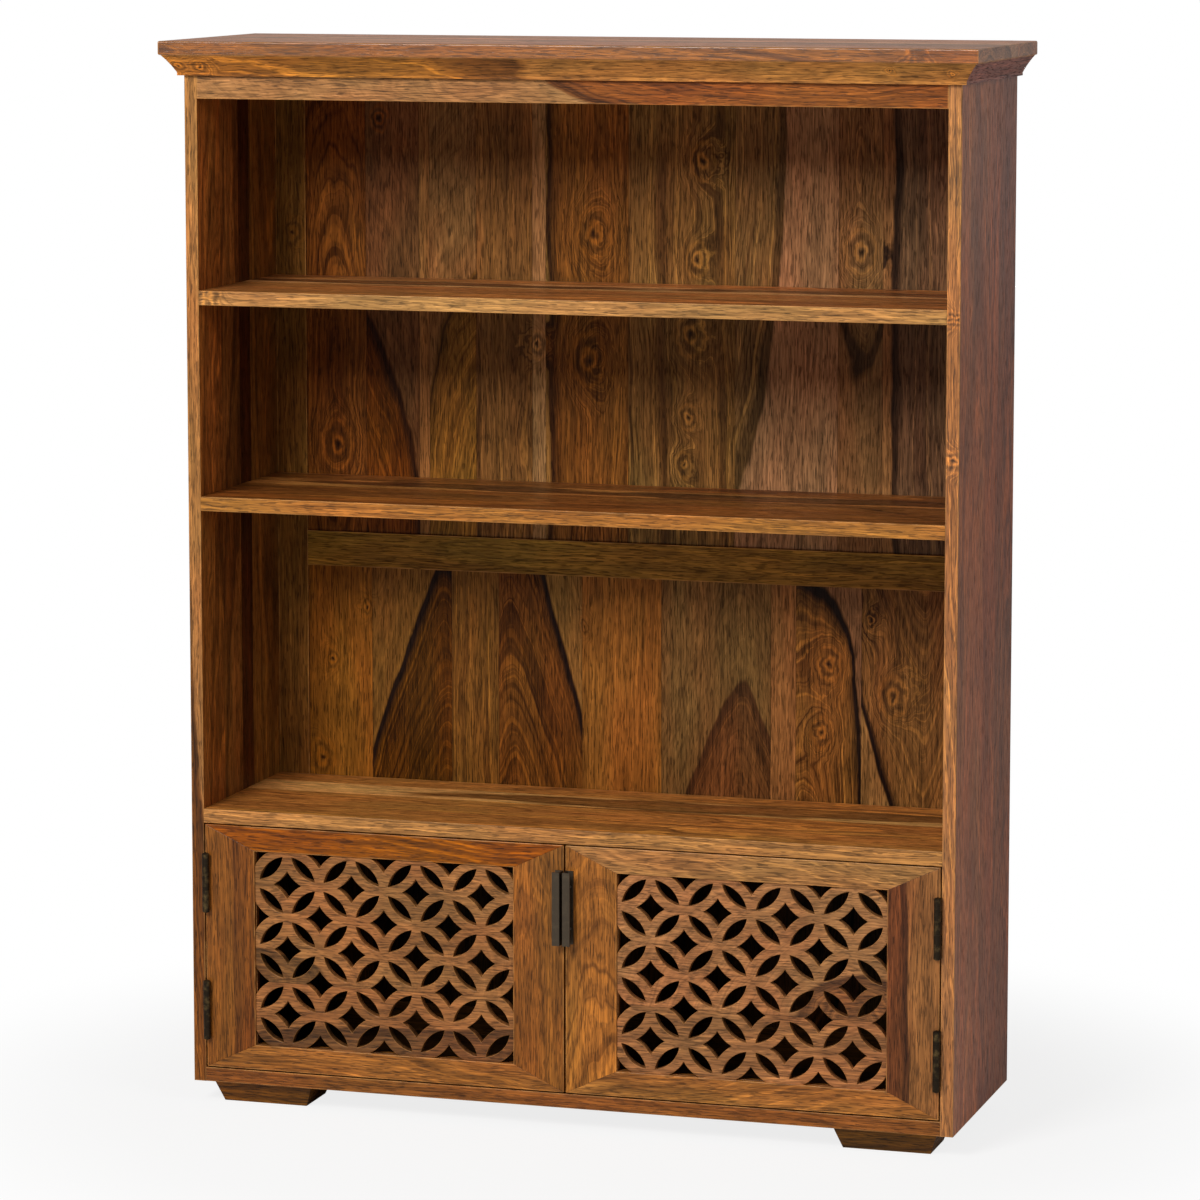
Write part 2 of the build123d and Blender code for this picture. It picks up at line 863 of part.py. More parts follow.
def catch_body():
    """Catch housing with an ear at each end and a pocket for its magnet."""
    rear = catch_front_y + catch_depth
    ear_half = catch_width / 2 + catch_ear_length
    low = z_cabinet_shelf - catch_height
    ear_low = z_cabinet_shelf - catch_ear_thickness
    solid = block(
        catch_offset - catch_width / 2,
        catch_offset + catch_width / 2,
        catch_front_y,
        rear,
        low,
        z_cabinet_shelf,
    )
    solid += block(
        catch_offset - ear_half, catch_offset + ear_half, catch_front_y, rear, ear_low, z_cabinet_shelf
    )
    solid -= magnet_form(glue_gap)
    return cut_all(solid, [along(*p, (0, 0, 1), small_screw_hole()) for p in catch_screw_places()])


def magnet_form(grow=0.0):
    half_x = magnet_width / 2 + grow
    half_z = magnet_height / 2 + grow
    y0 = catch_front_y - magnet_stand
    return block(
        catch_offset - half_x,
        catch_offset + half_x,
        y0,
        y0 + magnet_depth + grow,
        catch_centre_z - half_z,
        catch_centre_z + half_z,
    )


def catch_screws():
    return [along(*place, (0, 0, 1), small_screw()) for place in catch_screw_places()]


def strike_screw_place():
    return catch_offset, door_rear_y + strike_thickness, strike_centre_z


def strike_plate():
    """Steel plate on the door's top rail, which the magnet holds."""
    half = strike_width / 2
    solid = block(
        catch_offset - half,
        catch_offset + half,
        door_rear_y,
        door_rear_y + strike_thickness,
        strike_centre_z - strike_height / 2,
        strike_centre_z + strike_height / 2,
    )
    return solid - along(*strike_screw_place(), (0, -1, 0), small_screw_hole())


# ---- Every piece by name ---------------------------------------------------------------------


def carcass_nodes():
    nodes = {}
    catch_holes = [along(*p, (0, 0, 1), small_screw_hole()) for p in catch_screw_places()]
    for name, z in board_levels.items():
        solid = cut_all(board(z), back_screw_holes())
        if name == "bottom_board":
            solid = cut_all(solid, foot_screw_holes())
        if name == "cabinet_shelf":
            solid = cut_all(solid, catch_holes + [mirror(hole, about=Plane.YZ) for hole in catch_holes])
        nodes[name] = solid
    nodes["frieze_rail"] = frieze_rail()
    nodes["crown_board"] = crown_board()
    nodes["cornice_front"] = cornice_front()
    for name, sign in SIDES.items():
        nodes[name + "_side_panel"] = on_side(side_panel(), sign)
        nodes["cornice_" + name] = on_side(cornice_side(), sign)
        nodes["back_stile_" + name] = on_side(back_stile(), sign)
        nodes["foot_front_" + name] = foot(sign, -1)
        nodes["foot_rear_" + name] = foot(sign, 1)
    nodes["back_top_rail"] = back_rail(z_crown - back_rail_height, z_crown, True, False)
    nodes["back_middle_rail"] = back_rail(z_mid_rail, z_mid_rail_top, True, True)
    nodes["back_bottom_rail"] = back_rail(z_body, z_body + back_rail_height, False, True)
    nodes["back_upper_panel"] = back_panel(z_mid_rail_top, z_crown - back_rail_height)
    nodes["back_lower_panel"] = back_panel(z_body + back_rail_height, z_mid_rail)
    nodes["carcass_dowels"] = carcass_dowels()
    nodes["back_screws"] = back_screws()
    nodes["foot_screws"] = foot_screws()
    nodes["catch_bodies"] = group(on_side(catch_body(), sign) for sign in SIDES.values())
    nodes["catch_magnets"] = group(on_side(magnet_form(), sign) for sign in SIDES.values())
    nodes["catch_screws"] = group(
        on_side(solid, sign) for sign in SIDES.values() for solid in catch_screws()
    )
    return nodes


def hinge_nodes():
    nodes = {}
    carcass_screws = []
    for side, sign in SIDES.items():
        for level, z in hinge_centres.items():
            nodes[f"{side}_{level}_hinge_carcass_leaf"] = on_side(carcass_leaf(z), sign)
            nodes[f"{side}_{level}_hinge_door_leaf"] = on_side(door_leaf(z), sign)
            carcass_screws += [on_side(item, sign) for item in leaf_screws(fixed_leaf_x, z, 1)]
        pins = [on_side(hinge_pin(z), sign) for z in hinge_centres.values()]
        nodes[f"{side}_hinge_pins"] = group(pins)
    nodes["carcass_hinge_screws"] = group(carcass_screws)
    return nodes


def door_nodes():
    nodes = {}
    makers = {
        "hinge_stile": hinge_stile,
        "meeting_stile": meeting_stile,
        "top_rail": door_top_rail,
        "bottom_rail": door_bottom_rail,
        "lattice_panel": lattice_panel,
        "handle": handle,
        "strike_plate": strike_plate,
    }
    right_pieces = {name: maker() for name, maker in makers.items()}
    screws = [along(*strike_screw_place(), (0, -1, 0), small_screw())]
    for z in hinge_centres.values():
        screws += leaf_screws(door_leaf_x + leaf_thickness, z, -1)
    for side, sign in SIDES.items():
        for name, solid in right_pieces.items():
            nodes[f"{side}_door_{name}"] = on_side(solid, sign)
        nodes[f"{side}_door_corner_dowels"] = on_side(mitre_dowels(), sign)
        nodes[f"{side}_door_handle_screws"] = on_side(handle_screws(), sign)
        nodes[f"{side}_door_wood_screws"] = group(on_side(item, sign) for item in screws)
    return nodes


os.makedirs("parts", exist_ok=True)
for node, shape in {**carcass_nodes(), **hinge_nodes(), **door_nodes()}.items():
    export_step(shape, os.path.join("parts", node + ".step"))
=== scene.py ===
"""Bookcase of solid sheesham with two lattice doors: the finish of each piece, and a plain studio."""

import json
import math

import bmesh
import bpy
import numpy as np
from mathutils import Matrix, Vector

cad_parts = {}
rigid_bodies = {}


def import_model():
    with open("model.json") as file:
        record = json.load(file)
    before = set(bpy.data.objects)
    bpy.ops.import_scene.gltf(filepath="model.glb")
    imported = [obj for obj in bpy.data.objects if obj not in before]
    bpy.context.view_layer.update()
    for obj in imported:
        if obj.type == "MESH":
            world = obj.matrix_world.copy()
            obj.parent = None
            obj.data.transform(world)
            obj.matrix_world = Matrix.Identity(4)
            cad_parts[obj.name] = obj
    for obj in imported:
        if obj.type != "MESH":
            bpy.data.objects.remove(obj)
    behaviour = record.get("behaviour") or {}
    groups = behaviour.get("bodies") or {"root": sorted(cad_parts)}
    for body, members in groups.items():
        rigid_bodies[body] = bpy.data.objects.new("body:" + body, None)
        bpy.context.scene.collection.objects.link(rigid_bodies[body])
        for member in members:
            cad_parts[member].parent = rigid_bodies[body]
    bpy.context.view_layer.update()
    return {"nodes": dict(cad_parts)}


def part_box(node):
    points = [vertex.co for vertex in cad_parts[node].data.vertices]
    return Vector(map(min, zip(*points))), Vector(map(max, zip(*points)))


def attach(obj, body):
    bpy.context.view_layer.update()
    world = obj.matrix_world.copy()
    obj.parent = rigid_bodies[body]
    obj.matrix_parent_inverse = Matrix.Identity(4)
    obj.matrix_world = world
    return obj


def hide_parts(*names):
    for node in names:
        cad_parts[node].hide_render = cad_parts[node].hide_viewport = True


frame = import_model()


# ---- Side panels ------------------------------------------------------------------------------
# Each side is one wide board glued from three or four planks of sheesham, an Indian rosewood,
# with the grain upright. It is planed, sanded, stained honey brown and sprayed with a satin
# lacquer.


def linear(code):
    """Colour written as an sRGB hex value, as linear RGBA."""
    parts = [int(code[place:place + 2], 16) / 255 for place in (1, 3, 5)]
    curve = [c / 12.92 if c <= 0.04045 else ((c + 0.055) / 1.055) ** 2.4 for c in parts]
    return (*curve, 1.0)


def put(tree, kind, *values, out=0, **settings):
    """Adds a shader node with its settings and fills its open inputs in order.

    Returns the numbered open output, or the node itself if it has none.
    """
    node = tree.nodes.new("ShaderNode" + kind)
    for name, value in settings.items():
        setattr(node, name, value)
    for socket, value in zip([s for s in node.inputs if s.enabled], values):
        if isinstance(value, bpy.types.NodeSocket):
            tree.links.new(value, socket)
        elif value is not None:
            socket.default_value = value
    outputs = [s for s in node.outputs if s.enabled]
    return outputs[out] if outputs else node


def blank_material(name):
    """New material whose node tree is empty."""
    material = bpy.data.materials.new(name)
    material.use_nodes = True
    material.node_tree.nodes.clear()
    return material


def sheesham_figure():
    """Node group that draws the wood from a place in its log, in millimetres, grain along Z.

    The pith runs along Z. The growth zones are a noise of the distance from the pith, and the
    whole log is bent by slow noises, so a board that is cut at a lean shows arches. Dark streaks
    gather in some stretches and fade out in others, with golden lines between them. Beyond the
    sap radius the wood is pale sapwood, with a dark line where the heartwood ends. A knot draws
    the zones in round it, and its heart is above 0 where it is dark and below 0 where it is
    golden. Fibres and pores run along the board's own face. Real pores are 0.2 mm wide; here
    they are 1.6 mm, so that they show.
    """
    log_bends = ((190, 800, 52.0), (38, 130, 15.0), (10, 45, 2.6))
    fibre_bend = 0.4
    zone_width = 30
    line_width = 5.5
    pore_size = (1.6, 22)
    fibre_size = (2.2, 60)
    dark_times = (0.26, 0.20, 0.22)
    gold_times = (1.5, 1.5, 1.3)
    knot_gold_times = (2.2, 2.0, 1.4)
    red_times = (1.05, 0.955, 0.80)
    olive_times = (0.95, 1.01, 0.86)
    sap_streak = linear("#573213")
    rim_line = linear("#1f100a")
    knot_heart = linear("#221107")
    tree = bpy.data.node_groups.new("sheesham_figure", "ShaderNodeTree")
    sockets = {
        "Place": "Vector",
        "Face": "Vector",
        "Sapwood": "Color",
        "Heartwood": "Color",
        "Sap radius": "Float",
        "Streaks": "Float",
        "Seed": "Float",
        "Knot lift": "Float",
        "Knot heart": "Float",
        "End grain": "Float",
    }
    for name, kind in sockets.items():
        tree.interface.new_socket(name, in_out="INPUT", socket_type="NodeSocket" + kind)
    tree.interface.new_socket("Color", in_out="OUTPUT", socket_type="NodeSocketColor")
    tree.interface.new_socket("Height", in_out="OUTPUT", socket_type="NodeSocketFloat")
    tree.interface.new_socket("Pores", in_out="OUTPUT", socket_type="NodeSocketFloat")
    given = tree.nodes.new("NodeGroupInput").outputs
    made = tree.nodes.new("NodeGroupOutput").inputs

    # Each seed takes its wood from another stretch of the noises.
    seed_step = (310.0, 170.0, 530.0)
    zone_step = 900.0
    seed = put(tree, "CombineXYZ", given["Seed"], given["Seed"], given["Seed"])
    apart = put(tree, "VectorMath", seed, seed_step, operation="MULTIPLY")
    place = put(tree, "VectorMath", given["Place"], apart, operation="ADD")

    def cells(width, length, detail=2.0, roughness=0.5, out=0, source=place):
        """Noise whose blotches are so many millimetres wide and long."""
        scaled = (1 / width, 1 / width, 1 / length)
        scaled = put(tree, "VectorMath", source, scaled, operation="MULTIPLY")
        return put(tree, "TexNoise", scaled, 1.0, detail, roughness, out=out)

    # Waves of each width and length push the wood sideways by up to half of their amount.
    bent = given["Place"]
    face = put(tree, "VectorMath", given["Face"], apart, operation="ADD")
    for width, length, amount in log_bends:
        sway = cells(width, length, 1.5, 0.4, out=1)
        sway = put(tree, "VectorMath", sway, (0.5, 0.5, 0.5), operation="SUBTRACT")
        sway = put(tree, "VectorMath", sway, (amount, amount, 0.0), operation="MULTIPLY")
        bent = put(tree, "VectorMath", bent, sway, operation="ADD")
        sway = put(tree, "VectorMath", sway, (fibre_bend, fibre_bend, 0.0), operation="MULTIPLY")
        face = put(tree, "VectorMath", face, sway, operation="ADD")
    across = put(tree, "VectorMath", bent, (1.0, 1.0, 0.0), operation="MULTIPLY")
    radius = put(tree, "VectorMath", across, operation="LENGTH")
    radius = put(tree, "Math", radius, given["Knot lift"], operation="SUBTRACT")
    shifted = put(tree, "Math", given["Seed"], zone_step, radius, operation="MULTIPLY_ADD")

    # Dark zones, with a sharp line on their edges, and thin dark and golden lines.
    band = put(tree, "TexNoise", shifted, 1 / zone_width, 2.0, 0.5, noise_dimensions="1D")
    line = put(tree, "TexNoise", shifted, 1 / line_width, 3.0, 0.65, noise_dimensions="1D")
    gather = put(tree, "MapRange", cells(110, 380), 0.40, 0.60, 0.2, 1.0)
    dark = put(tree, "MapRange", band, 0.50, 0.70, 0.0, 0.75, interpolation_type="SMOOTHSTEP")
    edge = put(tree, "Math", band, 0.56, operation="SUBTRACT")
    edge = put(tree, "Math", edge, operation="ABSOLUTE")
    edge = put(tree, "MapRange", edge, 0.022, 0.004, 0.0, 0.8, interpolation_type="SMOOTHSTEP")
    thin = put(tree, "MapRange", line, 0.53, 0.66, 0.0, 0.7, interpolation_type="SMOOTHSTEP")
    dark = put(tree, "Math", dark, edge, operation="MAXIMUM")
    dark = put(tree, "Math", dark, thin, operation="MAXIMUM")
    dark = put(tree, "Math", dark, gather, operation="MULTIPLY")
    dark = put(tree, "Math", dark, given["Streaks"], operation="MULTIPLY", use_clamp=True)
    gold = put(tree, "MapRange", line, 0.47, 0.38, 0.0, 1.0, interpolation_type="SMOOTHSTEP")
    near_dark = put(tree, "MapRange", band, 0.40, 0.52, 0.25, 1.0)
    gold = put(tree, "Math", gold, near_dark, operation="MULTIPLY")
    gold = put(tree, "Math", gold, given["Streaks"], operation="MULTIPLY", use_clamp=True)
    golden = put(tree, "VectorMath", given["Heartwood"], gold_times, operation="MULTIPLY")
    heart = put(tree, "Mix", gold, given["Heartwood"], golden, data_type="RGBA")
    deep = put(tree, "VectorMath", given["Heartwood"], dark_times, operation="MULTIPLY")
    heart = put(tree, "Mix", dark, heart, deep, data_type="RGBA")
    sap_dark = put(tree, "Math", dark, 0.35, operation="MULTIPLY")
    sap = put(tree, "Mix", sap_dark, given["Sapwood"], sap_streak, data_type="RGBA")

    # Sapwood beyond the sap radius, and the dark rim just inside it.
    beyond = put(tree, "Math", radius, given["Sap radius"], operation="SUBTRACT")
    pale = put(tree, "MapRange", beyond, -1.5, 2.5, 0.0, 1.0, interpolation_type="SMOOTHSTEP")
    wood = put(tree, "Mix", pale, heart, sap, data_type="RGBA")
    rim = put(tree, "MapRange", beyond, -16.0, -3.0, 0.0, 0.85, interpolation_type="SMOOTHSTEP")
    past_rim = put(tree, "MapRange", beyond, 3.0, -1.0, 0.0, 1.0, interpolation_type="SMOOTHSTEP")
    rim = put(tree, "Math", rim, past_rim, operation="MULTIPLY")
    rim = put(tree, "Math", rim, given["Streaks"], operation="MULTIPLY", use_clamp=True)
    wood = put(tree, "Mix", rim, wood, rim_line, data_type="RGBA")

    # A knot's golden rings and dark heart.
    ring = put(tree, "Math", given["Knot heart"], -1.0, operation="MULTIPLY", use_clamp=True)
    golden = put(tree, "VectorMath", given["Heartwood"], knot_gold_times, operation="MULTIPLY")
    wood = put(tree, "Mix", ring, wood, golden, data_type="RGBA")
    core = put(tree, "Math", given["Knot heart"], 0.7, operation="MULTIPLY", use_clamp=True)
    wood = put(tree, "Mix", core, wood, knot_heart, data_type="RGBA")

    # Hue drifts between a red brown and an olive brown, and the fibres give fine streaks.
    hue = put(tree, "MapRange", cells(75, 330), 0.38, 0.62, 0.0, 1.0)
    tint = put(tree, "Mix", hue, olive_times, red_times, data_type="VECTOR")
    wood = put(tree, "VectorMath", wood, tint, operation="MULTIPLY")
    fibre = cells(*fibre_size, 2.0, 0.6, source=face)
    pore = cells(*pore_size, 1.0, 0.5, source=face)
    pore = put(tree, "MapRange", pore, 0.55, 0.62, 0.0, 1.0, interpolation_type="SMOOTHSTEP")
    tone = put(tree, "MapRange", fibre, 0.34, 0.66, 0.66, 1.34)
    for value, low, high, at_low, at_high in (
        (cells(6, 150, source=face), 0.35, 0.65, 0.84, 1.16),
        (line, 0.30, 0.70, 1.16, 0.84),
        (cells(55, 150), 0.3, 0.7, 0.84, 1.16),
        (cells(16, 34), 0.35, 0.65, 0.92, 1.08),
        (pore, 0.0, 1.0, 1.10, 0.52),
        (cells(9, 60, 0.0, source=face), 0.72, 0.84, 1.0, 0.8),
        (given["End grain"], 0.5, 1.0, 1.0, 0.62),
    ):
        factor = put(tree, "MapRange", value, low, high, at_low, at_high)
        tone = put(tree, "Math", tone, factor, operation="MULTIPLY")
    tone = put(tree, "CombineXYZ", tone, tone, tone)
    wood = put(tree, "VectorMath", wood, tone, operation="MULTIPLY")
    tree.links.new(wood, made["Color"])
    relief = put(tree, "Math", fibre, 0.35, operation="MULTIPLY")
    relief = put(tree, "Math", relief, pore, operation="SUBTRACT")
    tree.links.new(relief, made["Height"])
    tree.links.new(pore, made["Pores"])
    return tree


figure = sheesham_figure()


def knot(tree, place, centre, size):
    """Pull and heart of a knot, from the distance to its centre in its own radii.

    The pull bends the zones round it and ends at 4.2 radii. The heart is a cosine of the
    distance that fades out at 2.6 radii, so that dark and golden rings take turns.
    """
    tallness = 1.5
    pull_end = 4.2
    half_ring = 0.55
    ring_end = 2.6
    apart = put(tree, "VectorMath", place, (centre[0], 0.0, centre[1]), operation="SUBTRACT")
    share = (1 / size, 0.0, 1 / (tallness * size))
    near = put(tree, "VectorMath", apart, share, operation="MULTIPLY")
    near = put(tree, "VectorMath", near, operation="LENGTH")
    pull = put(tree, "MapRange", near, 0.0, pull_end, 4.0 * size, 0.0,
               interpolation_type="SMOOTHERSTEP")
    wave = put(tree, "Math", near, math.pi / half_ring, operation="MULTIPLY")
    wave = put(tree, "Math", wave, operation="COSINE")
    fade = put(tree, "MapRange", near, 0.3, ring_end, 0.75, 0.0, interpolation_type="SMOOTHSTEP")
    heart = put(tree, "Math", wave, fade, operation="MULTIPLY")
    core = put(tree, "MapRange", near, 0.15, 0.7, 0.6, 0.0, interpolation_type="SMOOTHSTEP")
    heart = put(tree, "Math", heart, core, operation="ADD")
    return pull, heart


def by_plank(tree, past, values, kind):
    """Value of the plank that a place lies in; past holds one switch for each glue joint."""
    chosen = values[0]
    for switch, value in zip(past, values[1:]):
        chosen = put(tree, "Mix", switch, chosen, value, data_type=kind)
    return chosen


def depth_in_box(tree, place, low, high):
    """How deep a place lies in a box along each axis, negative outside it, in millimetres."""
    middle = [(a + b) / 2 for a, b in zip(low, high)]
    half = [(b - a) / 2 for a, b in zip(low, high)]
    off = put(tree, "VectorMath", place, middle, operation="SUBTRACT")
    off = put(tree, "VectorMath", off, operation="ABSOLUTE")
    off = put(tree, "VectorMath", half, off, operation="SUBTRACT")
    return put(tree, "SeparateXYZ", off).node.outputs


# Painted shade: the wood inside the cupboard behind the doors is drawn darker, standing in for the
# shade in that closed box. Half a millimetre takes in its own walls.
wall_skin = 0.5
cupboard_painted_shade = 0.22
inner_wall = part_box("left_side_panel")[1][0] * 1000
cupboard_low = (inner_wall - wall_skin,
                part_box("left_door_top_rail")[1][1] * 1000 + 2 * wall_skin,
                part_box("bottom_board")[1][2] * 1000 - wall_skin)
cupboard_high = (-inner_wall + wall_skin,
                 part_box("back_lower_panel")[0][1] * 1000 + 2 * wall_skin,
                 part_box("cabinet_shelf")[0][2] * 1000 + wall_skin)


def sheesham(name, node, axes, planks, knots=(), gloss=0.36, seed=0.0, coat=0.06, pierced=False):
    """Satin-lacquered sheesham for one piece: a soft sheen over the figure, dull in the pores.

    axes names the directions across, through and along the grain. A plank is (start, pith, deep,
    lean, sap radius, streaks, sapwood, heartwood): where it starts across the piece, where its
    log's pith lies, how deep the pith is at the origin and how fast it deepens along the grain,
    all in mm, and how strong its dark streaks are. The first plank's start isn't used. A ninth
    value is how fast the log widens along the grain, which makes its arches pointed. A knot is
    (across, along, size) in mm. gloss is the lacquer's roughness and coat its thickness. A
    pierced piece also gets its pale arrises, partly wear and partly a painted highlight, at its
    holes.
    """
    next_plank_seed = 0.37
    knot_waves_per_metre = 60.0
    knot_waves_by = 16.0
    hairline_core = 0.2
    hairline_edge = 0.7
    glue_line = linear("#1d0f07")
    arris_core = 0.4
    arris_edge = 2.2
    worn_and_highlit_wood = linear("#cf924f")
    coat_roughness = 0.24
    pores_duller_by = 0.22
    relief_depth = 0.0004
    material = blank_material(name)
    tree = material.node_tree
    lo, hi = (np.array(corner) * 1000 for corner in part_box(node))
    object_place = put(tree, "TexCoord", out=3)
    in_mm = put(tree, "VectorMath", object_place, (1000.0, 1000.0, 1000.0), operation="MULTIPLY")
    split = put(tree, "SeparateXYZ", in_mm).node.outputs
    across, through, grain = (split["XYZ".index(axis)] for axis in axes)
    face = float((lo + hi)["XYZ".index(axes[1])] / 2)
    through = put(tree, "Math", through, face, operation="SUBTRACT")

    past = [put(tree, "Math", across, float(p[0]), operation="GREATER_THAN") for p in planks[1:]]
    log = by_plank(tree, past, [tuple(map(float, p[1:4])) for p in planks], "VECTOR")
    kinds = [(p[4], (index * next_plank_seed + seed) % 1, p[5]) for index, p in enumerate(planks)]
    kinds = by_plank(tree, past, kinds, "VECTOR")
    sapwood = by_plank(tree, past, [linear(p[6]) for p in planks], "RGBA")
    heartwood = by_plank(tree, past, [linear(p[7]) for p in planks], "RGBA")
    pith, deep, lean = put(tree, "SeparateXYZ", log).node.outputs
    sap_radius, plank_seed, streaks = put(tree, "SeparateXYZ", kinds).node.outputs
    from_pith = put(tree, "Math", across, pith, operation="SUBTRACT")
    depth = put(tree, "Math", grain, lean, deep, operation="MULTIPLY_ADD")
    depth = put(tree, "Math", depth, through, operation="ADD")
    in_log = put(tree, "CombineXYZ", from_pith, depth, grain)
    on_face = put(tree, "CombineXYZ", across, through, grain)

    widening = by_plank(tree, past, [p[8] if len(p) > 8 else 0.0 for p in planks], "FLOAT")
    lift = put(tree, "Math", grain, widening, operation="MULTIPLY")
    heart = 0.0
    wander = put(tree, "TexNoise", object_place, knot_waves_per_metre, 2.0, 0.5, out=1)
    wander = put(tree, "VectorMath", wander, (0.5, 0.5, 0.5), operation="SUBTRACT")
    wander = put(tree, "VectorMath", wander, (knot_waves_by,) * 3, operation="MULTIPLY")
    place = put(tree, "VectorMath", on_face, wander, operation="ADD")
    for across_at, along_at, size in knots:
        one_lift, one_heart = knot(tree, place, (across_at, along_at), size)
        lift = put(tree, "Math", lift, one_lift, operation="ADD")
        heart = put(tree, "Math", heart, one_heart, operation="ADD")
    normal = put(tree, "TexCoord", out=1)
    grain_way = [float(axis == axes[2]) for axis in "XYZ"]
    end = put(tree, "VectorMath", normal, grain_way, operation="DOT_PRODUCT")
    end = put(tree, "Math", end, operation="ABSOLUTE")
    drawn = put(tree, "Group", in_log, on_face, sapwood, heartwood, sap_radius, streaks,
                plank_seed, lift, heart, end, node_tree=figure)
    colour, height, pores = drawn.node.outputs

    # A glue joint is a hairline, drawn 0.9 mm wide so that it shows.
    joint = 0.0
    for plank in planks[1:]:
        off = put(tree, "Math", across, float(plank[0]), operation="SUBTRACT")
        off = put(tree, "Math", off, operation="ABSOLUTE")
        off = put(tree, "MapRange", off, hairline_core, hairline_edge, 0.55, 0.0)
        joint = put(tree, "Math", joint, off, operation="MAXIMUM")
    colour = put(tree, "Mix", joint, colour, glue_line, data_type="RGBA")

    # The arrises are drawn paler, partly as wear from sanding and handling and partly as a painted
    # highlight along them: within 2 mm of two faces at once.
    off = depth_in_box(tree, in_mm, lo, hi)
    smaller = put(tree, "Math", off[0], off[1], operation="MINIMUM")
    larger = put(tree, "Math", off[0], off[1], operation="MAXIMUM")
    second = put(tree, "Math", larger, off[2], operation="MINIMUM")
    second = put(tree, "Math", smaller, second, operation="MAXIMUM")
    rub = put(tree, "TexNoise", object_place, 40.0, 2.0)
    rub = put(tree, "MapRange", rub, 0.4, 0.6, 0.15, 0.55)
    worn = put(tree, "MapRange", second, arris_edge, arris_core, 0.0, 1.0,
               interpolation_type="SMOOTHSTEP")
    if pierced:
        # The holes' arrises lie just under the broad faces and are turned away from them.
        broad = [float(axis == axes[1]) for axis in "XYZ"]
        turned = put(tree, "VectorMath", normal, broad, operation="DOT_PRODUCT")
        turned = put(tree, "Math", turned, operation="ABSOLUTE")
        turned = put(tree, "MapRange", turned, 0.97, 0.6, 0.0, 1.0)
        under = put(tree, "MapRange", off["XYZ".index(axes[1])], 2.0, 1.0, 0.0, 1.0)
        turned = put(tree, "Math", turned, under, operation="MULTIPLY")
        worn = put(tree, "Math", worn, turned, operation="MAXIMUM")
    worn = put(tree, "Math", worn, rub, operation="MULTIPLY")
    colour = put(tree, "Mix", worn, colour, worn_and_highlit_wood, data_type="RGBA")

    # Painted shade: what lies inside the cupboard's box is drawn darker, standing in for the shade
    # there.
    off = depth_in_box(tree, in_mm, cupboard_low, cupboard_high)
    inside = put(tree, "Math", off[0], off[1], operation="MINIMUM")
    inside = put(tree, "Math", inside, off[2], operation="MINIMUM")
    inside = put(tree, "MapRange", inside, -0.2, 0.2, 1.0, cupboard_painted_shade)
    inside = put(tree, "CombineXYZ", inside, inside, inside)
    colour = put(tree, "VectorMath", colour, inside, operation="MULTIPLY")

    shader = put(tree, "BsdfPrincipled").node
    tree.links.new(colour, shader.inputs["Base Color"])
    rough = put(tree, "MapRange", pores, 0.0, 1.0, gloss, gloss + pores_duller_by)
    tree.links.new(rough, shader.inputs["Roughness"])

    # A thin film leaves the wood almost matt, and a thick one has the full gloss of a lacquer.
    shader.inputs["Specular IOR Level"].default_value = min(0.5, 0.04 + 2.0 * coat)
    shader.inputs["Coat Weight"].default_value = coat
    shader.inputs["Coat Roughness"].default_value = coat_roughness
    bump = put(tree, "Bump", 0.55, relief_depth)
    tree.links.new(height, bump.node.inputs["Height"])
    tree.links.new(bump, shader.inputs["Normal"])
    put(tree, "OutputMaterial", shader.outputs[0])
    return material


def finish_with(node, material):
    """Gives a CAD piece its finish, in every slot that it has."""
    piece = frame["nodes"][node]
    if not piece.material_slots:
        piece.data.materials.append(material)
    for slot in piece.material_slots:
        slot.material = material


# The front edge shows its own figure, so its first 1.4 mm count as a plank. Each row here and in
# the sections below is one plank, in the order that sheesham() gives.
edge_skin = 1.4
carcass_front = round(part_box("left_side_panel")[0][1] * 1000)
side_planks = {
    "left": [
        # The left front edge is pale sapwood in its upper half and darker heartwood lower down:
        # painted light, standing in for light that falls off downwards.
        (carcass_front, -170, 62, 0.050, 100, 0.6, "#a26c3d", "#714319"),
        (carcass_front + edge_skin, -60, 150, 0.035, 900, 1.0, "#8d5427", "#945526"),
        (-78, -10, 90, 0.030, 900, 1.0, "#8b5830", "#814e25"),
        (-2, -60, 20, 0.004, 900, 1.8, "#4a2210", "#441e0c"),
        (44, 140, 120, -0.030, 900, 1.0, "#9f7537", "#825526"),
    ],
    "right": [
        (carcass_front, -150, 40, 0.050, 900, 1.1, "#8f5e36", "#a66d3e"),
        (carcass_front + edge_skin, -60, 150, 0.030, 300, 0.5, "#b06a3d", "#aa613a"),
        (-6, 30, 140, -0.020, 320, 0.5, "#9d5633", "#9f5632"),
        (86, 170, 110, 0.030, 300, 0.5, "#955331", "#94502f"),
    ],
}
edge_knots = {"left": [], "right": [(-172, 1244, 5), (-172, 1038, 6)]}
for side, seed, coat in (("left", 0.13, 0.06), ("right", 0.61, 0.16)):
    name = side + "_side_panel"
    finish_with(name, sheesham("lacquered_" + name, name, "YXZ", side_planks[side],
                               edge_knots[side], seed=seed, coat=coat))


# ---- Shelves and floor board ------------------------------------------------------------------
# Four boards of glued planks with the grain along the bookcase. Their ends sit in stopped
# housings in the sides, and their front arrises are rounded over with a router.

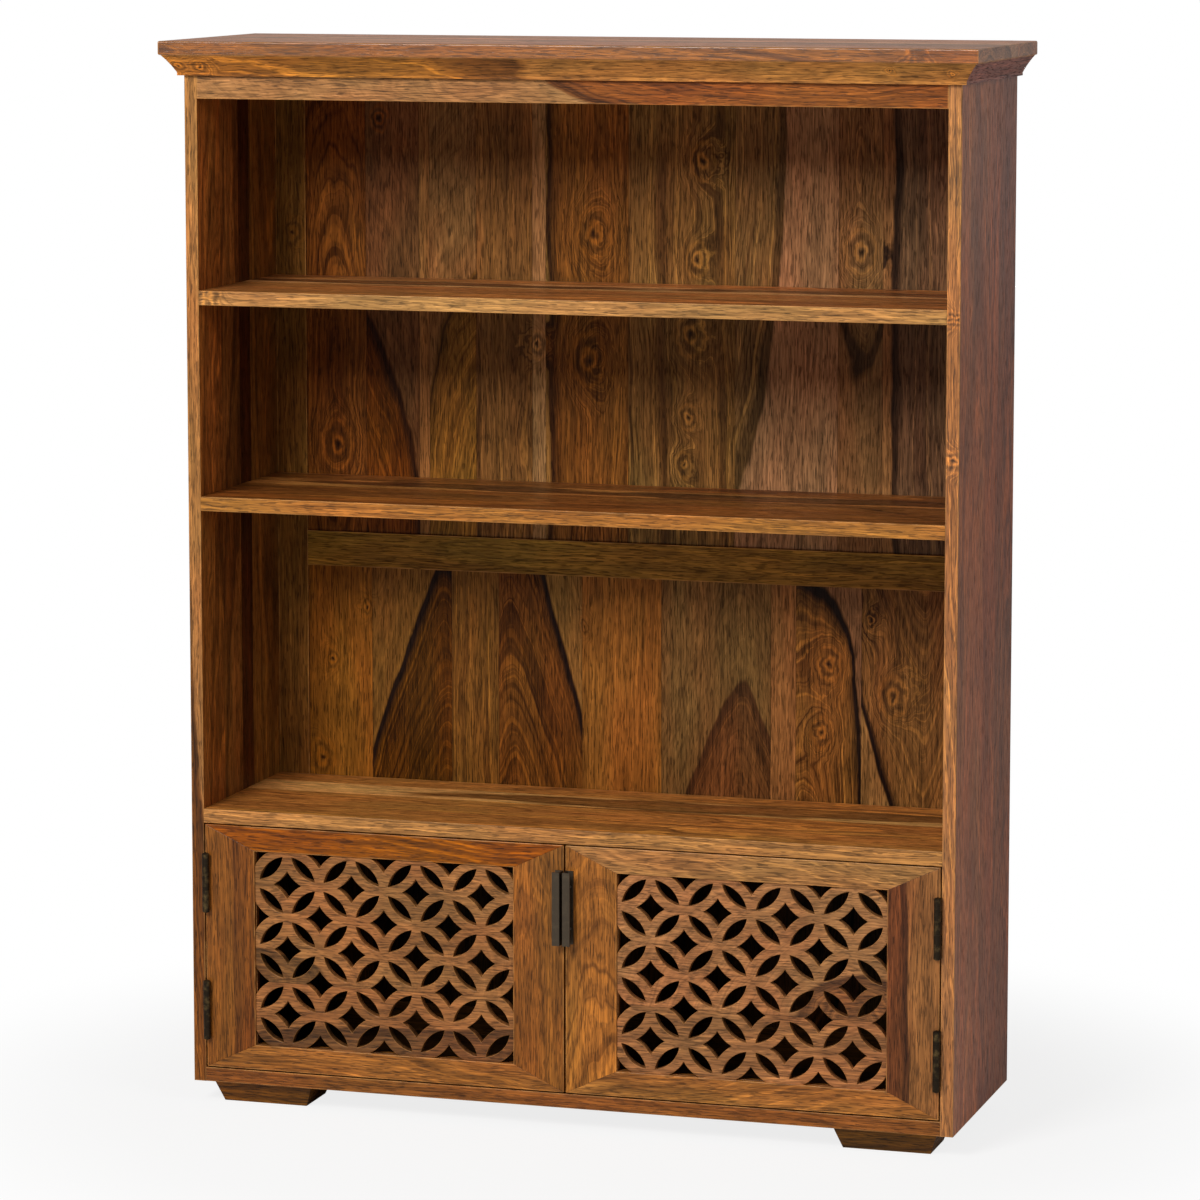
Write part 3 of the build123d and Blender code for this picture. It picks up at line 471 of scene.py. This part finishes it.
board_tones = {
    "bottom_board": ("#96622a", "#844f23", "#8a5a2e", "#6b3f1c"),
    "cabinet_shelf": ("#c68c57", "#ae7442", "#dda161", "#b27339"),
    "lower_shelf": ("#bb7d40", "#a1672f", "#b6783f", "#834d22"),
    "upper_shelf": ("#c28f5c", "#ab7949", "#da9f67", "#a66839"),
}
for index, (name, tones) in enumerate(board_tones.items()):
    edge_sap, edge_heart, sap, heart = tones
    planks = [
        (carcass_front, -150, 40, 0.012, 900, 0.4, edge_sap, edge_heart),
        (carcass_front + edge_skin, -120, 90, 0.010, 900, 0.9, sap, heart),
        (-88, -40, 50, 0.014, 900, 1.1, sap, heart),
        (14, 60, 60, -0.012, 74, 0.7, sap, heart),
        (95, 150, 70, 0.010, 900, 1.0, sap, heart),
    ]
    seed = 0.21 + 0.17 * index
    knots = [(-172, -566, 8)] if name == "upper_shelf" else ()
    finish_with(name, sheesham("lacquered_" + name, name, "YZX", planks, knots, seed=seed))


# ---- Frieze, cornice and crown ----------------------------------------------------------------
# A rail closes the top bay. The bevelled cornice is mitred round the front and both sides, and
# the crown board is dowelled on top of it. All three are solid sheesham.

frieze = [(0, 1650, 120, -0.300, 132, 0.6, "#9b6c44", "#85491c")]
finish_with("frieze_rail", sheesham("lacquered_frieze", "frieze_rail", "ZYX", frieze, seed=0.35))
cornice_logs = {
    "front": ("ZYX", 1530, 100, 0.100, 112, 0.8, "#a06a34", "#a26426"),
    "left": ("ZXY", 1530, 60, 0.040, 85, 0.7, "#a06a34", "#94602c"),
    # The right cornice's mauve tone is partly its own colour and partly a painted reflection of the
    # pale surroundings in its lacquer.
    "right": ("ZXY", 1530, 60, 0.040, 300, 0.5, "#965e54", "#925850"),
}
cornice_knots = [(1597, -603, 6), (1597, -568, 6), (1600, 498, 3), (1600, 589, 3)]
for index, (side, (axes, *log)) in enumerate(cornice_logs.items()):
    name = "cornice_" + side
    knots = cornice_knots if side == "front" else ()
    seed = 0.72 + 0.23 * index
    finish_with(name, sheesham("lacquered_" + name, name, axes, [(0, *log)], knots, seed=seed))
crown_front = round(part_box("crown_board")[0][1] * 1000)
crown = [
    (crown_front, -150, 40, 0.060, 300, 0.9, "#9c5d25", "#8b4f1a"),
    # The top planks' pale pinkish grey is partly their own colour and partly a painted reflection of
    # the bright surroundings in the lacquer.
    (crown_front + edge_skin, -150, 120, 0.015, 160, 0.6, "#eaa175", "#d1895e"),
    (-90, -60, 60, 0.020, 100, 0.6, "#eda479", "#d48d65"),
    (60, 110, 70, -0.020, 140, 0.6, "#eda479", "#d48d65"),
]
finish_with("crown_board", sheesham("lacquered_crown", "crown_board", "YZX", crown,
                                    [(-195, 540, 7)], seed=0.52, coat=0.3))


# ---- Framed back: stiles and rails ------------------------------------------------------------
# Two uprights and three cross rails, grooved on the inside and joined with stub tenons, are
# screwed to the rear edges of the boards.

stile = [(-600, 560, 40, 0.010, 80, 1.0, "#754c21", "#593615")]
for side, seed in (("left", 0.27), ("right", 0.83)):
    name = "back_stile_" + side
    finish_with(name, sheesham("lacquered_" + name, name, "XYZ", stile, [(-551, 1325, 11)],
                               seed=seed, coat=0.01))
rail_tones = {
    "top": ("#8a5c2c", "#744b22"),
    "middle": ("#a37a31", "#8a6328"),
    "bottom": ("#8a5c2c", "#744b22"),
}
for level, seed in (("top", 0.07), ("middle", 0.49), ("bottom", 0.91)):
    name = f"back_{level}_rail"
    rail = [(0, 700, 120, 0.020, 300, 0.7, *rail_tones[level])]
    finish_with(name, sheesham("lacquered_" + name, name, "ZYX", rail, seed=seed, coat=0.01))


# ---- Back panels ------------------------------------------------------------------------------
# Each panel is glued from upright planks of strongly figured wood, with knots and flames, and
# lies loose in the frame's grooves so that it can swell and shrink.

upper_planks = [
    (-540, -490, -160, 0.150, 92, 0.9, "#6c4521", "#6f3e17"),
    (-431, -460, -254, 0.300, 110, 1.0, "#694327", "#6b380f"),
    (-343, -700, 0, 0.000, 10, 0.4, "#855932", "#855932"),
    (-326, -220, -250, 0.300, 130, 0.8, "#7d5532", "#825724"),
    (-249, -190, 30, 0.000, 900, 0.9, "#895e2f", "#7b502b"),
    (-157, -700, 0, 0.000, 10, 0.4, "#996e48", "#996e48"),
    (-135, -45, 0, 0.000, 92, 1.0, "#996e3b", "#7b4b20"),
    (-1, 300, 60, -0.020, 900, 0.9, "#855e30", "#7b572f"),
    (170, 100, 307, -0.186, 150, 0.8, "#94684a", "#7e5934"),
    (333, 368, 241, -0.160, 60, 0.8, "#7f5737", "#7b5535"),
    (403, 520, 60, -0.030, 100, 0.9, "#8a5d3a", "#694b37"),
]
upper_knots = [(-56, 1334, 16), (-65, 1137, 17), (118, 1447, 12), (110, 1296, 11),
               (99, 1180, 14), (95, 1052, 8), (368, 1314, 14), (-480, 992, 15), (-408, 1506, 9),
               (-148, 1158, 9), (88, 978, 8)]
name = "back_upper_panel"
finish_with(name, sheesham("figured_" + name, name, "XYZ", upper_planks, upper_knots,
                           seed=0.05, coat=0.01))
lower_planks = [
    (-540, -640, 20, 0.010, 40, 0.6, "#814e19", "#6b3f11"),
    (-424, -303, 18, 0.000, 290, 1.2, "#794e21", "#512d09", -0.331),
    (-291, -700, 0, 0.000, 900, 1.0, "#7a4c1f", "#734b1f"),
    (-213, -190, 20, 0.000, 258, 1.2, "#80592c", "#663a14", -0.259),
    (-76, -330, 30, 0.010, 60, 0.6, "#8a5422", "#6f4522"),
    (53, 172, 34, 0.000, 240, 0.7, "#75522d", "#683f21", -0.330),
    (229, -300, 30, 0.000, 100, 0.7, "#8d5c34", "#654f2d"),
    (269, 270, -112, 0.265, 105, 1.2, "#8a5b3e", "#7c4e24"),
    (373, 470, 12, 0.000, -80, 1.2, "#8a6138", "#764c28", 0.287),
]
lower_knots = [(-510, 489, 13), (-491, 649, 8), (-433, 734, 7), (322, 678, 11), (311, 570, 10),
               (386, 748, 7), (423, 631, 13), (-72, 720, 6)]
name = "back_lower_panel"
finish_with(name, sheesham("figured_" + name, name, "XYZ", lower_planks, lower_knots,
                           seed=0.11, coat=0.01))


# ---- Feet -------------------------------------------------------------------------------------
# Four solid blocks, tapered towards the floor and screwed up into the floor board.

foot = [(0, 40, 60, 0.030, 50, 0.7, "#7b4e15", "#6b4110")]
for name in ("foot_front_left", "foot_front_right", "foot_rear_left", "foot_rear_right"):
    finish_with(name, sheesham("lacquered_" + name, name, "ZYX", foot, seed=len(name) * 0.19))


# ---- Doors ------------------------------------------------------------------------------------
# Each door is a frame of two stiles and two rails, mitred at the corners and dowelled. The bars
# are planed and their arrises just broken, so each mitre shows as a fine line.

weld = 2e-6
broken_arris = 0.0007


def stand(name, data):
    """Puts a mesh, lamp or camera into the scene as an object at the origin."""
    thing = bpy.data.objects.new(name, data)
    bpy.context.scene.collection.objects.link(thing)
    return thing


def eased_copy(node, ease, shortest=0.012):
    """Copy of a CAD piece whose long outer arrises are rounded over, in metres.

    The loose triangles are merged and flat faces made whole first. An arris is an edge that
    stands out, turns by more than 20 degrees and is longer than the shortest one.
    """
    flat_turn = 0.01
    arris_turn = 0.35
    source = frame["nodes"][node]
    shape = bmesh.new()
    shape.from_mesh(source.data)
    bmesh.ops.remove_doubles(shape, verts=shape.verts, dist=weld)
    bmesh.ops.dissolve_limit(shape, angle_limit=flat_turn, verts=shape.verts, edges=shape.edges)
    long_edges = [edge for edge in shape.edges if edge.calc_length() > shortest]
    arrises = [
        edge for edge in long_edges if edge.is_convex and edge.calc_face_angle(0) > arris_turn
    ]
    bmesh.ops.bevel(shape, geom=arrises, offset=ease, segments=2, profile=0.5, affect="EDGES")
    mesh = bpy.data.meshes.new(node + "_planed")
    shape.to_mesh(mesh)
    shape.free()
    piece = stand(node + "_planed", mesh)
    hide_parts(node)
    return piece


door_bars = {
    "left": {
        "hinge_stile": ("XYZ", -430, 40, 0.020, 112, 0.5, "#834d1d", "#774216"),
        "meeting_stile": ("XYZ", -60, 90, 0.050, 300, 0.5, "#905923", "#844f1f"),
        "top_rail": ("ZYX", 330, 120, 0.120, 900, 0.8, "#8e4d02", "#894802"),
        "bottom_rail": ("ZYX", 20, 110, 0.120, 900, 0.5, "#ad6c32", "#9a5d2a"),
    },
    "right": {
        "hinge_stile": ("XYZ", 440, 30, 0.060, 95, 0.7, "#8e5932", "#6b3b1f"),
        "meeting_stile": ("XYZ", 60, 70, 0.140, 900, 0.6, "#a0692e", "#955e27"),
        "top_rail": ("ZYX", 350, 140, 0.110, 900, 0.5, "#ac7c4f", "#a47143"),
        "bottom_rail": ("ZYX", 30, 120, -0.150, 900, 0.6, "#ad723b", "#9a622f"),
    },
}
for index, (side, bars) in enumerate(door_bars.items()):
    for order, (part, (axes, *log)) in enumerate(bars.items()):
        name = f"{side}_door_{part}"
        bar = eased_copy(name, broken_arris)
        seed = (0.31 * order + 0.47 * index + 0.22) % 1
        bar.data.materials.clear()
        bar.data.materials.append(
            sheesham("lacquered_" + name, name, axes, [(0, *log)], seed=seed)
        )
        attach(bar, side + "_door")


# ---- Lattice panels ---------------------------------------------------------------------------
# Each door's panel is sawn from two boards glued edge to edge. Rings overlap on a grid and leave
# a pointed leaf in every cell and a hollow-sided diamond at every ring's centre. The sawn arrises
# are rounded by hand, and a thin tongue all round sits in the frame's groove.

lattice_columns = 8
lattice_rows = 6
ring_band_inside = 0.125
ring_band_outside = 0.15
tongue_thickness = 0.006
arc_steps = 6
rounding_steps = 3
hand_rounding = 0.0012


def leaf_half(t, offset):
    """Half of a leaf: an arc about the ring centre at the cell's origin, in ring spacings.

    t runs from 0 at one tip to 1 at the other, and offset makes the hole so much larger.
    """
    radius = 1 - ring_band_inside + offset
    reach = math.sqrt((radius**2 - 0.5) / 2)
    tip = math.atan2(0.5 - reach, 0.5 + reach)
    angle = tip + (math.pi / 2 - 2 * tip) * t
    return radius * np.stack([np.cos(angle), np.sin(angle)], axis=-1)


def cell_half(t, offset):
    """Half of a cell's outline: up its right side, round the far diamond's arc, back along the top.

    The arc has the ring's outer radius about the origin, and each leg takes a third of t.
    """
    radius = 1 + ring_band_outside - offset
    rise = math.sqrt(radius**2 - 1)
    tip = math.atan2(rise, 1)
    angle = tip + (math.pi / 2 - 2 * tip) * np.clip(3 * t - 1, 0, 1)
    arc = radius * np.stack([np.cos(angle), np.sin(angle)], axis=-1)
    up = np.stack([np.ones_like(t), 3 * t * rise], axis=-1)
    back = np.stack([3 * (1 - t) * rise, np.ones_like(t)], axis=-1)
    t = t[:, None]
    return np.where(t < 1 / 3, up, np.where(t > 2 / 3, back, arc))


def outline(half, offset, level):
    """Closed line at one level in the board: a half, and the same turned about the cell's centre."""
    t = np.arange(3 * arc_steps) / (3 * arc_steps)
    flat = half(t, offset)
    flat = np.concatenate([flat, 1 - flat])
    return np.stack([flat[:, 0], np.full(len(flat), level), flat[:, 1]], axis=-1)


def quads_between(rows, closed):
    """Vertex numbers of the faces between rows of points; rows has shape (rows, points, 3)."""
    number = np.arange(rows.shape[0] * rows.shape[1]).reshape(rows.shape[:2])
    after = np.roll(number, -1, axis=1)
    if not closed:
        number, after = number[:, :-1], after[:, :-1]
    quads = np.stack([number[:-1], after[:-1], after[1:], number[1:]], axis=-1)
    return quads.reshape(-1, 4)


def lattice_panel(name, node, opening_low, opening_high):
    """Whole pierced panel, from one cell's surface repeated over the door's opening.

    From each broad face a quarter circle leads into the hole's wall: at angle a the line lies
    (1 - sin a) of the rounding in the wood and (1 - cos a) of it below the face.
    """
    low, high = (np.array(corner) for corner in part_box(node))
    opening_low, opening_high = np.array(opening_low), np.array(opening_high)
    spacing = (opening_high - opening_low) / (lattice_columns, lattice_rows)
    angle = np.linspace(0, math.pi / 2, rounding_steps + 1)
    inset = hand_rounding * (1 - np.sin(angle)) / spacing.mean()
    level = hand_rounding * (1 - np.cos(angle))
    inset = np.concatenate([inset, inset[::-1]])
    level = np.concatenate([low[1] + level, high[1] - level[::-1]])

    front = outline(cell_half, inset[0], low[1])
    back = outline(cell_half, inset[0], high[1])
    leaf = [outline(leaf_half, offset, y) for offset, y in zip(inset, level)]
    arcs = np.array([outline(cell_half, offset, y) for offset, y in zip(inset, level)])

    # One closed strip runs through the leaf, and an open one over each corner's arc, which is the
    # middle third of each half of the cell's outline.
    strips = [(np.array([front, *leaf, back]), True)]
    for first in (arc_steps, 4 * arc_steps):
        strips.append((arcs[:, first:first + arc_steps + 1], False))

    points = []
    faces = []
    count = 0

    def add(rows, closed, column, row):
        """Adds a strip in its cell, mirrored in every second one."""
        nonlocal count
        rows = rows.copy()
        if (column + row) % 2:
            rows[..., 0] = 1 - rows[..., 0]
        rows[..., 0] = opening_low[0] + (rows[..., 0] + column) * spacing[0]
        rows[..., 2] = opening_low[1] + (rows[..., 2] + row) * spacing[1]
        points.append(rows.reshape(-1, 3))
        faces.append(quads_between(rows, closed) + count)
        count += rows.shape[0] * rows.shape[1]

    for column in range(lattice_columns):
        for row in range(lattice_rows):
            for rows, closed in strips:
                add(rows, closed, column, row)

    # What is left open is the panel's outer edge, in pieces between the diamonds that it cuts.
    mesh = bpy.data.meshes.new(name)
    mesh.from_pydata(np.concatenate(points), [], np.concatenate(faces).tolist())
    shape = bmesh.new()
    shape.from_mesh(mesh)
    bmesh.ops.remove_doubles(shape, verts=shape.verts, dist=weld)
    open_edges = [edge for edge in shape.edges if edge.is_boundary]
    bmesh.ops.holes_fill(shape, edges=open_edges, sides=0)

    # The tongue is a flat frame round the opening, halfway through the board.
    tongue_front = (low[1] + high[1] - tongue_thickness) / 2
    tongue_rear = tongue_front + tongue_thickness
    rings = []
    for (x0, z0), (x1, z1), y in (
        (opening_low, opening_high, tongue_front),
        (low[[0, 2]], high[[0, 2]], tongue_front),
        (low[[0, 2]], high[[0, 2]], tongue_rear),
        (opening_low, opening_high, tongue_rear),
    ):
        corners = ((x0, y, z0), (x1, y, z0), (x1, y, z1), (x0, y, z1))
        rings.append([shape.verts.new(corner) for corner in corners])
    for ring, following in zip(rings, rings[1:] + rings[:1]):
        for side in range(4):
            after = (side + 1) % 4
            shape.faces.new((ring[side], ring[after], following[after], following[side]))
    bmesh.ops.recalc_face_normals(shape, faces=shape.faces)
    for face in shape.faces:
        face.smooth = abs(face.normal.y) < 0.999
    shape.to_mesh(mesh)
    shape.free()
    panel = stand(name, mesh)
    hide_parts(node)
    return panel


lattice_boards = {
    "left": [(97, -100, 0, 0.26, 258, 0.5, "#96623a", "#6f472a"),
             (197, 197, 231, 0.463, 50, 0.5, "#95623a", "#6e4a2a")],
    "right": [(97, 250, 150, 0.10, 400, 0.5, "#9d6943", "#986540"),
              (200, 200, -321, 0.72, 70, 0.6, "#9e6a44", "#784a2c")],
}
for side, seed in (("left", 0.15), ("right", 0.68)):
    name = side + "_door_lattice_panel"
    stiles = sorted((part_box(f"{side}_door_{part}_stile") for part in ("hinge", "meeting")),
                    key=lambda box: box[0][0])
    rails = [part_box(f"{side}_door_{part}_rail") for part in ("bottom", "top")]
    opening_low = (stiles[0][1][0], rails[0][1][2])
    opening_high = (stiles[1][0][0], rails[1][0][2])
    panel = lattice_panel(side + "_lattice", name, opening_low, opening_high)
    panel.data.materials.append(
        sheesham("sawn_" + name, name, "ZYX", lattice_boards[side], gloss=0.42, seed=seed,
                 pierced=True)
    )
    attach(panel, side + "_door")


# ---- Ironmongery ------------------------------------------------------------------------------
# Butt hinges of cast brass, aged dark, and handles bent from bronzed steel. Screws, strikes and
# magnets are zinc-plated. The catches are moulded of nylon, and the hidden dowels are of beech.


def aged_metal(name, body, worn, rough):
    """Metal with a chemical patina, rubbed brighter in random clouds about 11 mm across."""
    clouds_per_metre = 90.0
    grit_per_metre = 900.0
    relief_depth = 0.0002
    material = blank_material(name)
    tree = material.node_tree
    place = put(tree, "TexCoord", out=3)
    cloud = put(tree, "TexNoise", place, clouds_per_metre, 4.0, 0.6)
    grit = put(tree, "TexNoise", place, grit_per_metre, 2.0, 0.6)
    mask = put(tree, "MapRange", cloud, 0.5, 0.72, 0.0, 0.7)
    colour = put(tree, "Mix", mask, linear(body), linear(worn), data_type="RGBA")
    shader = put(tree, "BsdfPrincipled").node
    tree.links.new(colour, shader.inputs["Base Color"])
    shader.inputs["Metallic"].default_value = 0.85
    roughness = put(tree, "MapRange", grit, 0.3, 0.7, rough - 0.08, rough + 0.08)
    tree.links.new(roughness, shader.inputs["Roughness"])
    bump = put(tree, "Bump", 0.25, relief_depth)
    tree.links.new(grit, bump.node.inputs["Height"])
    tree.links.new(bump, shader.inputs["Normal"])
    put(tree, "OutputMaterial", shader.outputs[0])
    return material


aged_brass = aged_metal("aged_brass", "#2c2318", "#75603a", 0.42)
bronzed_steel = aged_metal("bronzed_steel", "#4d4337", "#5c5040", 0.5)
zinc_steel = aged_metal("zinc_plated_steel", "#9a978c", "#b5b2a6", 0.35)


def moulded_nylon(name, body):
    """Injection-moulded nylon: spark-eroded skin with 0.4 mm grit, drawn 1 mm wide to show."""
    grit_per_metre = 1000.0
    clouds_per_metre = 60.0
    relief_depth = 0.0002
    material = blank_material(name)
    tree = material.node_tree
    place = put(tree, "TexCoord", out=3)
    grit = put(tree, "TexNoise", place, grit_per_metre, 2.0, 0.6)
    cloud = put(tree, "TexNoise", place, clouds_per_metre, 2.0, 0.5)
    shade = put(tree, "MapRange", cloud, 0.3, 0.7, 0.9, 1.08)
    shade = put(tree, "CombineXYZ", shade, shade, shade)
    colour = put(tree, "VectorMath", linear(body)[:3], shade, operation="MULTIPLY")
    shader = put(tree, "BsdfPrincipled").node
    tree.links.new(colour, shader.inputs["Base Color"])
    roughness = put(tree, "MapRange", grit, 0.3, 0.7, 0.45, 0.6)
    tree.links.new(roughness, shader.inputs["Roughness"])
    bump = put(tree, "Bump", 0.3, relief_depth)
    tree.links.new(grit, bump.node.inputs["Height"])
    tree.links.new(bump, shader.inputs["Normal"])
    put(tree, "OutputMaterial", shader.outputs[0])
    return material


finish_with("catch_bodies", moulded_nylon("brown_nylon", "#4a3020"))
# The dowels are turned and left bare: pale, even and dull.
beech = [(0, 40, 30, 0.0, 900, 0.0, "#c9a06c", "#c2955f")]
for name in ("carcass_dowels", "left_door_corner_dowels", "right_door_corner_dowels"):
    finish_with(name, sheesham("beech_" + name, name, "XYZ", beech, gloss=0.6, coat=0.0))
for name in frame["nodes"]:
    if "hinge_carcass_leaf" in name or "hinge_door_leaf" in name or "hinge_pins" in name:
        finish_with(name, aged_brass)
    elif name.endswith("_handle"):
        finish_with(name, bronzed_steel)
    elif "screws" in name or "strike" in name or "magnets" in name:
        finish_with(name, zinc_steel)


# ---- Studio -----------------------------------------------------------------------------------
# A pale floor that fades to white, two soft lamps in front, one behind and the camera.

floor_mesh = bpy.data.meshes.new("studio_floor")
reach = 14.0
glow_near = 0.82
white_from = 0.65
white_at = 1.3
corners = [(-reach, -reach, 0), (reach, -reach, 0), (reach, reach, 0), (-reach, reach, 0)]
floor_mesh.from_pydata(corners, [], [(0, 1, 2, 3)])
floor = stand("studio_floor", floor_mesh)
paper = blank_material("white_paper")
tree = paper.node_tree
matt = put(tree, "BsdfDiffuse", linear("#f4f3f1"))
glow = put(tree, "Emission", (1.0, 1.0, 1.0, 1.0), 1.0)
seen = put(tree, "LightPath")
place = put(tree, "TexCoord", out=3)
far = put(tree, "VectorMath", place, operation="LENGTH")
fade = put(tree, "MapRange", far, white_from, white_at, glow_near, 1.0,
           interpolation_type="SMOOTHSTEP")
fade = put(tree, "Math", fade, seen, operation="MULTIPLY")
put(tree, "OutputMaterial", put(tree, "MixShader", fade, matt, glow))
floor_mesh.materials.append(paper)

# White where the camera sees it, dim in reflections, and a faint light on the bookcase.
air_light = 0.14
mirrored_share = 0.22
world = bpy.data.worlds.new("studio_air")
bpy.context.scene.world = world
world.use_nodes = True
tree = world.node_tree
tree.nodes.clear()
rays = put(tree, "LightPath").node.outputs
shown = put(tree, "Math", rays["Is Glossy Ray"], rays["Is Transmission Ray"], operation="MAXIMUM")
shown = put(tree, "Math", shown, mirrored_share, operation="MULTIPLY")
shown = put(tree, "Math", rays["Is Camera Ray"], shown, operation="MAXIMUM")
strength = put(tree, "MapRange", shown, 0.0, 1.0, air_light, 1.0)
put(tree, "OutputWorld", put(tree, "Background", (1.0, 1.0, 1.0, 1.0), strength))


def lamp(name, place, target, size, power):
    """Square soft box that faces a target, in metres and watts, and isn't seen itself."""
    data = bpy.data.lights.new(name, "AREA")
    data.shape = "SQUARE"
    data.size = size
    data.energy = power
    light = stand(name, data)
    way = np.array(target) - np.array(place)
    turn = math.atan2(way[0], -way[1])
    tip = math.atan2(math.hypot(way[0], way[1]), -way[2])
    light.location = place
    light.rotation_euler = (tip, 0.0, turn + math.pi)
    light.visible_camera = False
    return light


lamp("key_lamp", place=(-1.4, -4.9, 3.9), target=(0.0, 0.0, 0.9), size=2.0, power=270.0)
lamp("fill_lamp", place=(4.2, -2.2, 3.4), target=(0.0, 0.0, 1.3), size=2.5, power=44.0)
rear_lamp = lamp("rear_lamp", place=(0.0, 4.6, 0.8), target=(0.0, 0.0, 0.8), size=1.0, power=90.0)
rear_lamp.visible_glossy = False

# The rear lamp lights the bookcase alone, so that the floor doesn't shine in the lacquer.
lit_from_behind = bpy.data.collections.new("lit_from_behind")
for thing in bpy.data.objects:
    if thing.type == "MESH" and thing != floor:
        lit_from_behind.objects.link(thing)
rear_lamp.light_linking.receiver_collection = lit_from_behind

camera_data = bpy.data.cameras.new("camera")
camera = stand("camera", camera_data)
bpy.context.scene.camera = camera
camera_data.sensor_width = 36.0
camera_data.lens = 148.0
camera_data.shift_y = -0.0833
camera_data.clip_end = 100.0
camera_yaw = 0.2986
camera_pitch = 0.1245
camera.location = (2.1915, -7.1088, 1.8708)
camera.rotation_euler = (math.pi / 2 - camera_pitch, 0.0, camera_yaw)

bpy.context.scene.view_settings.view_transform = "Standard"
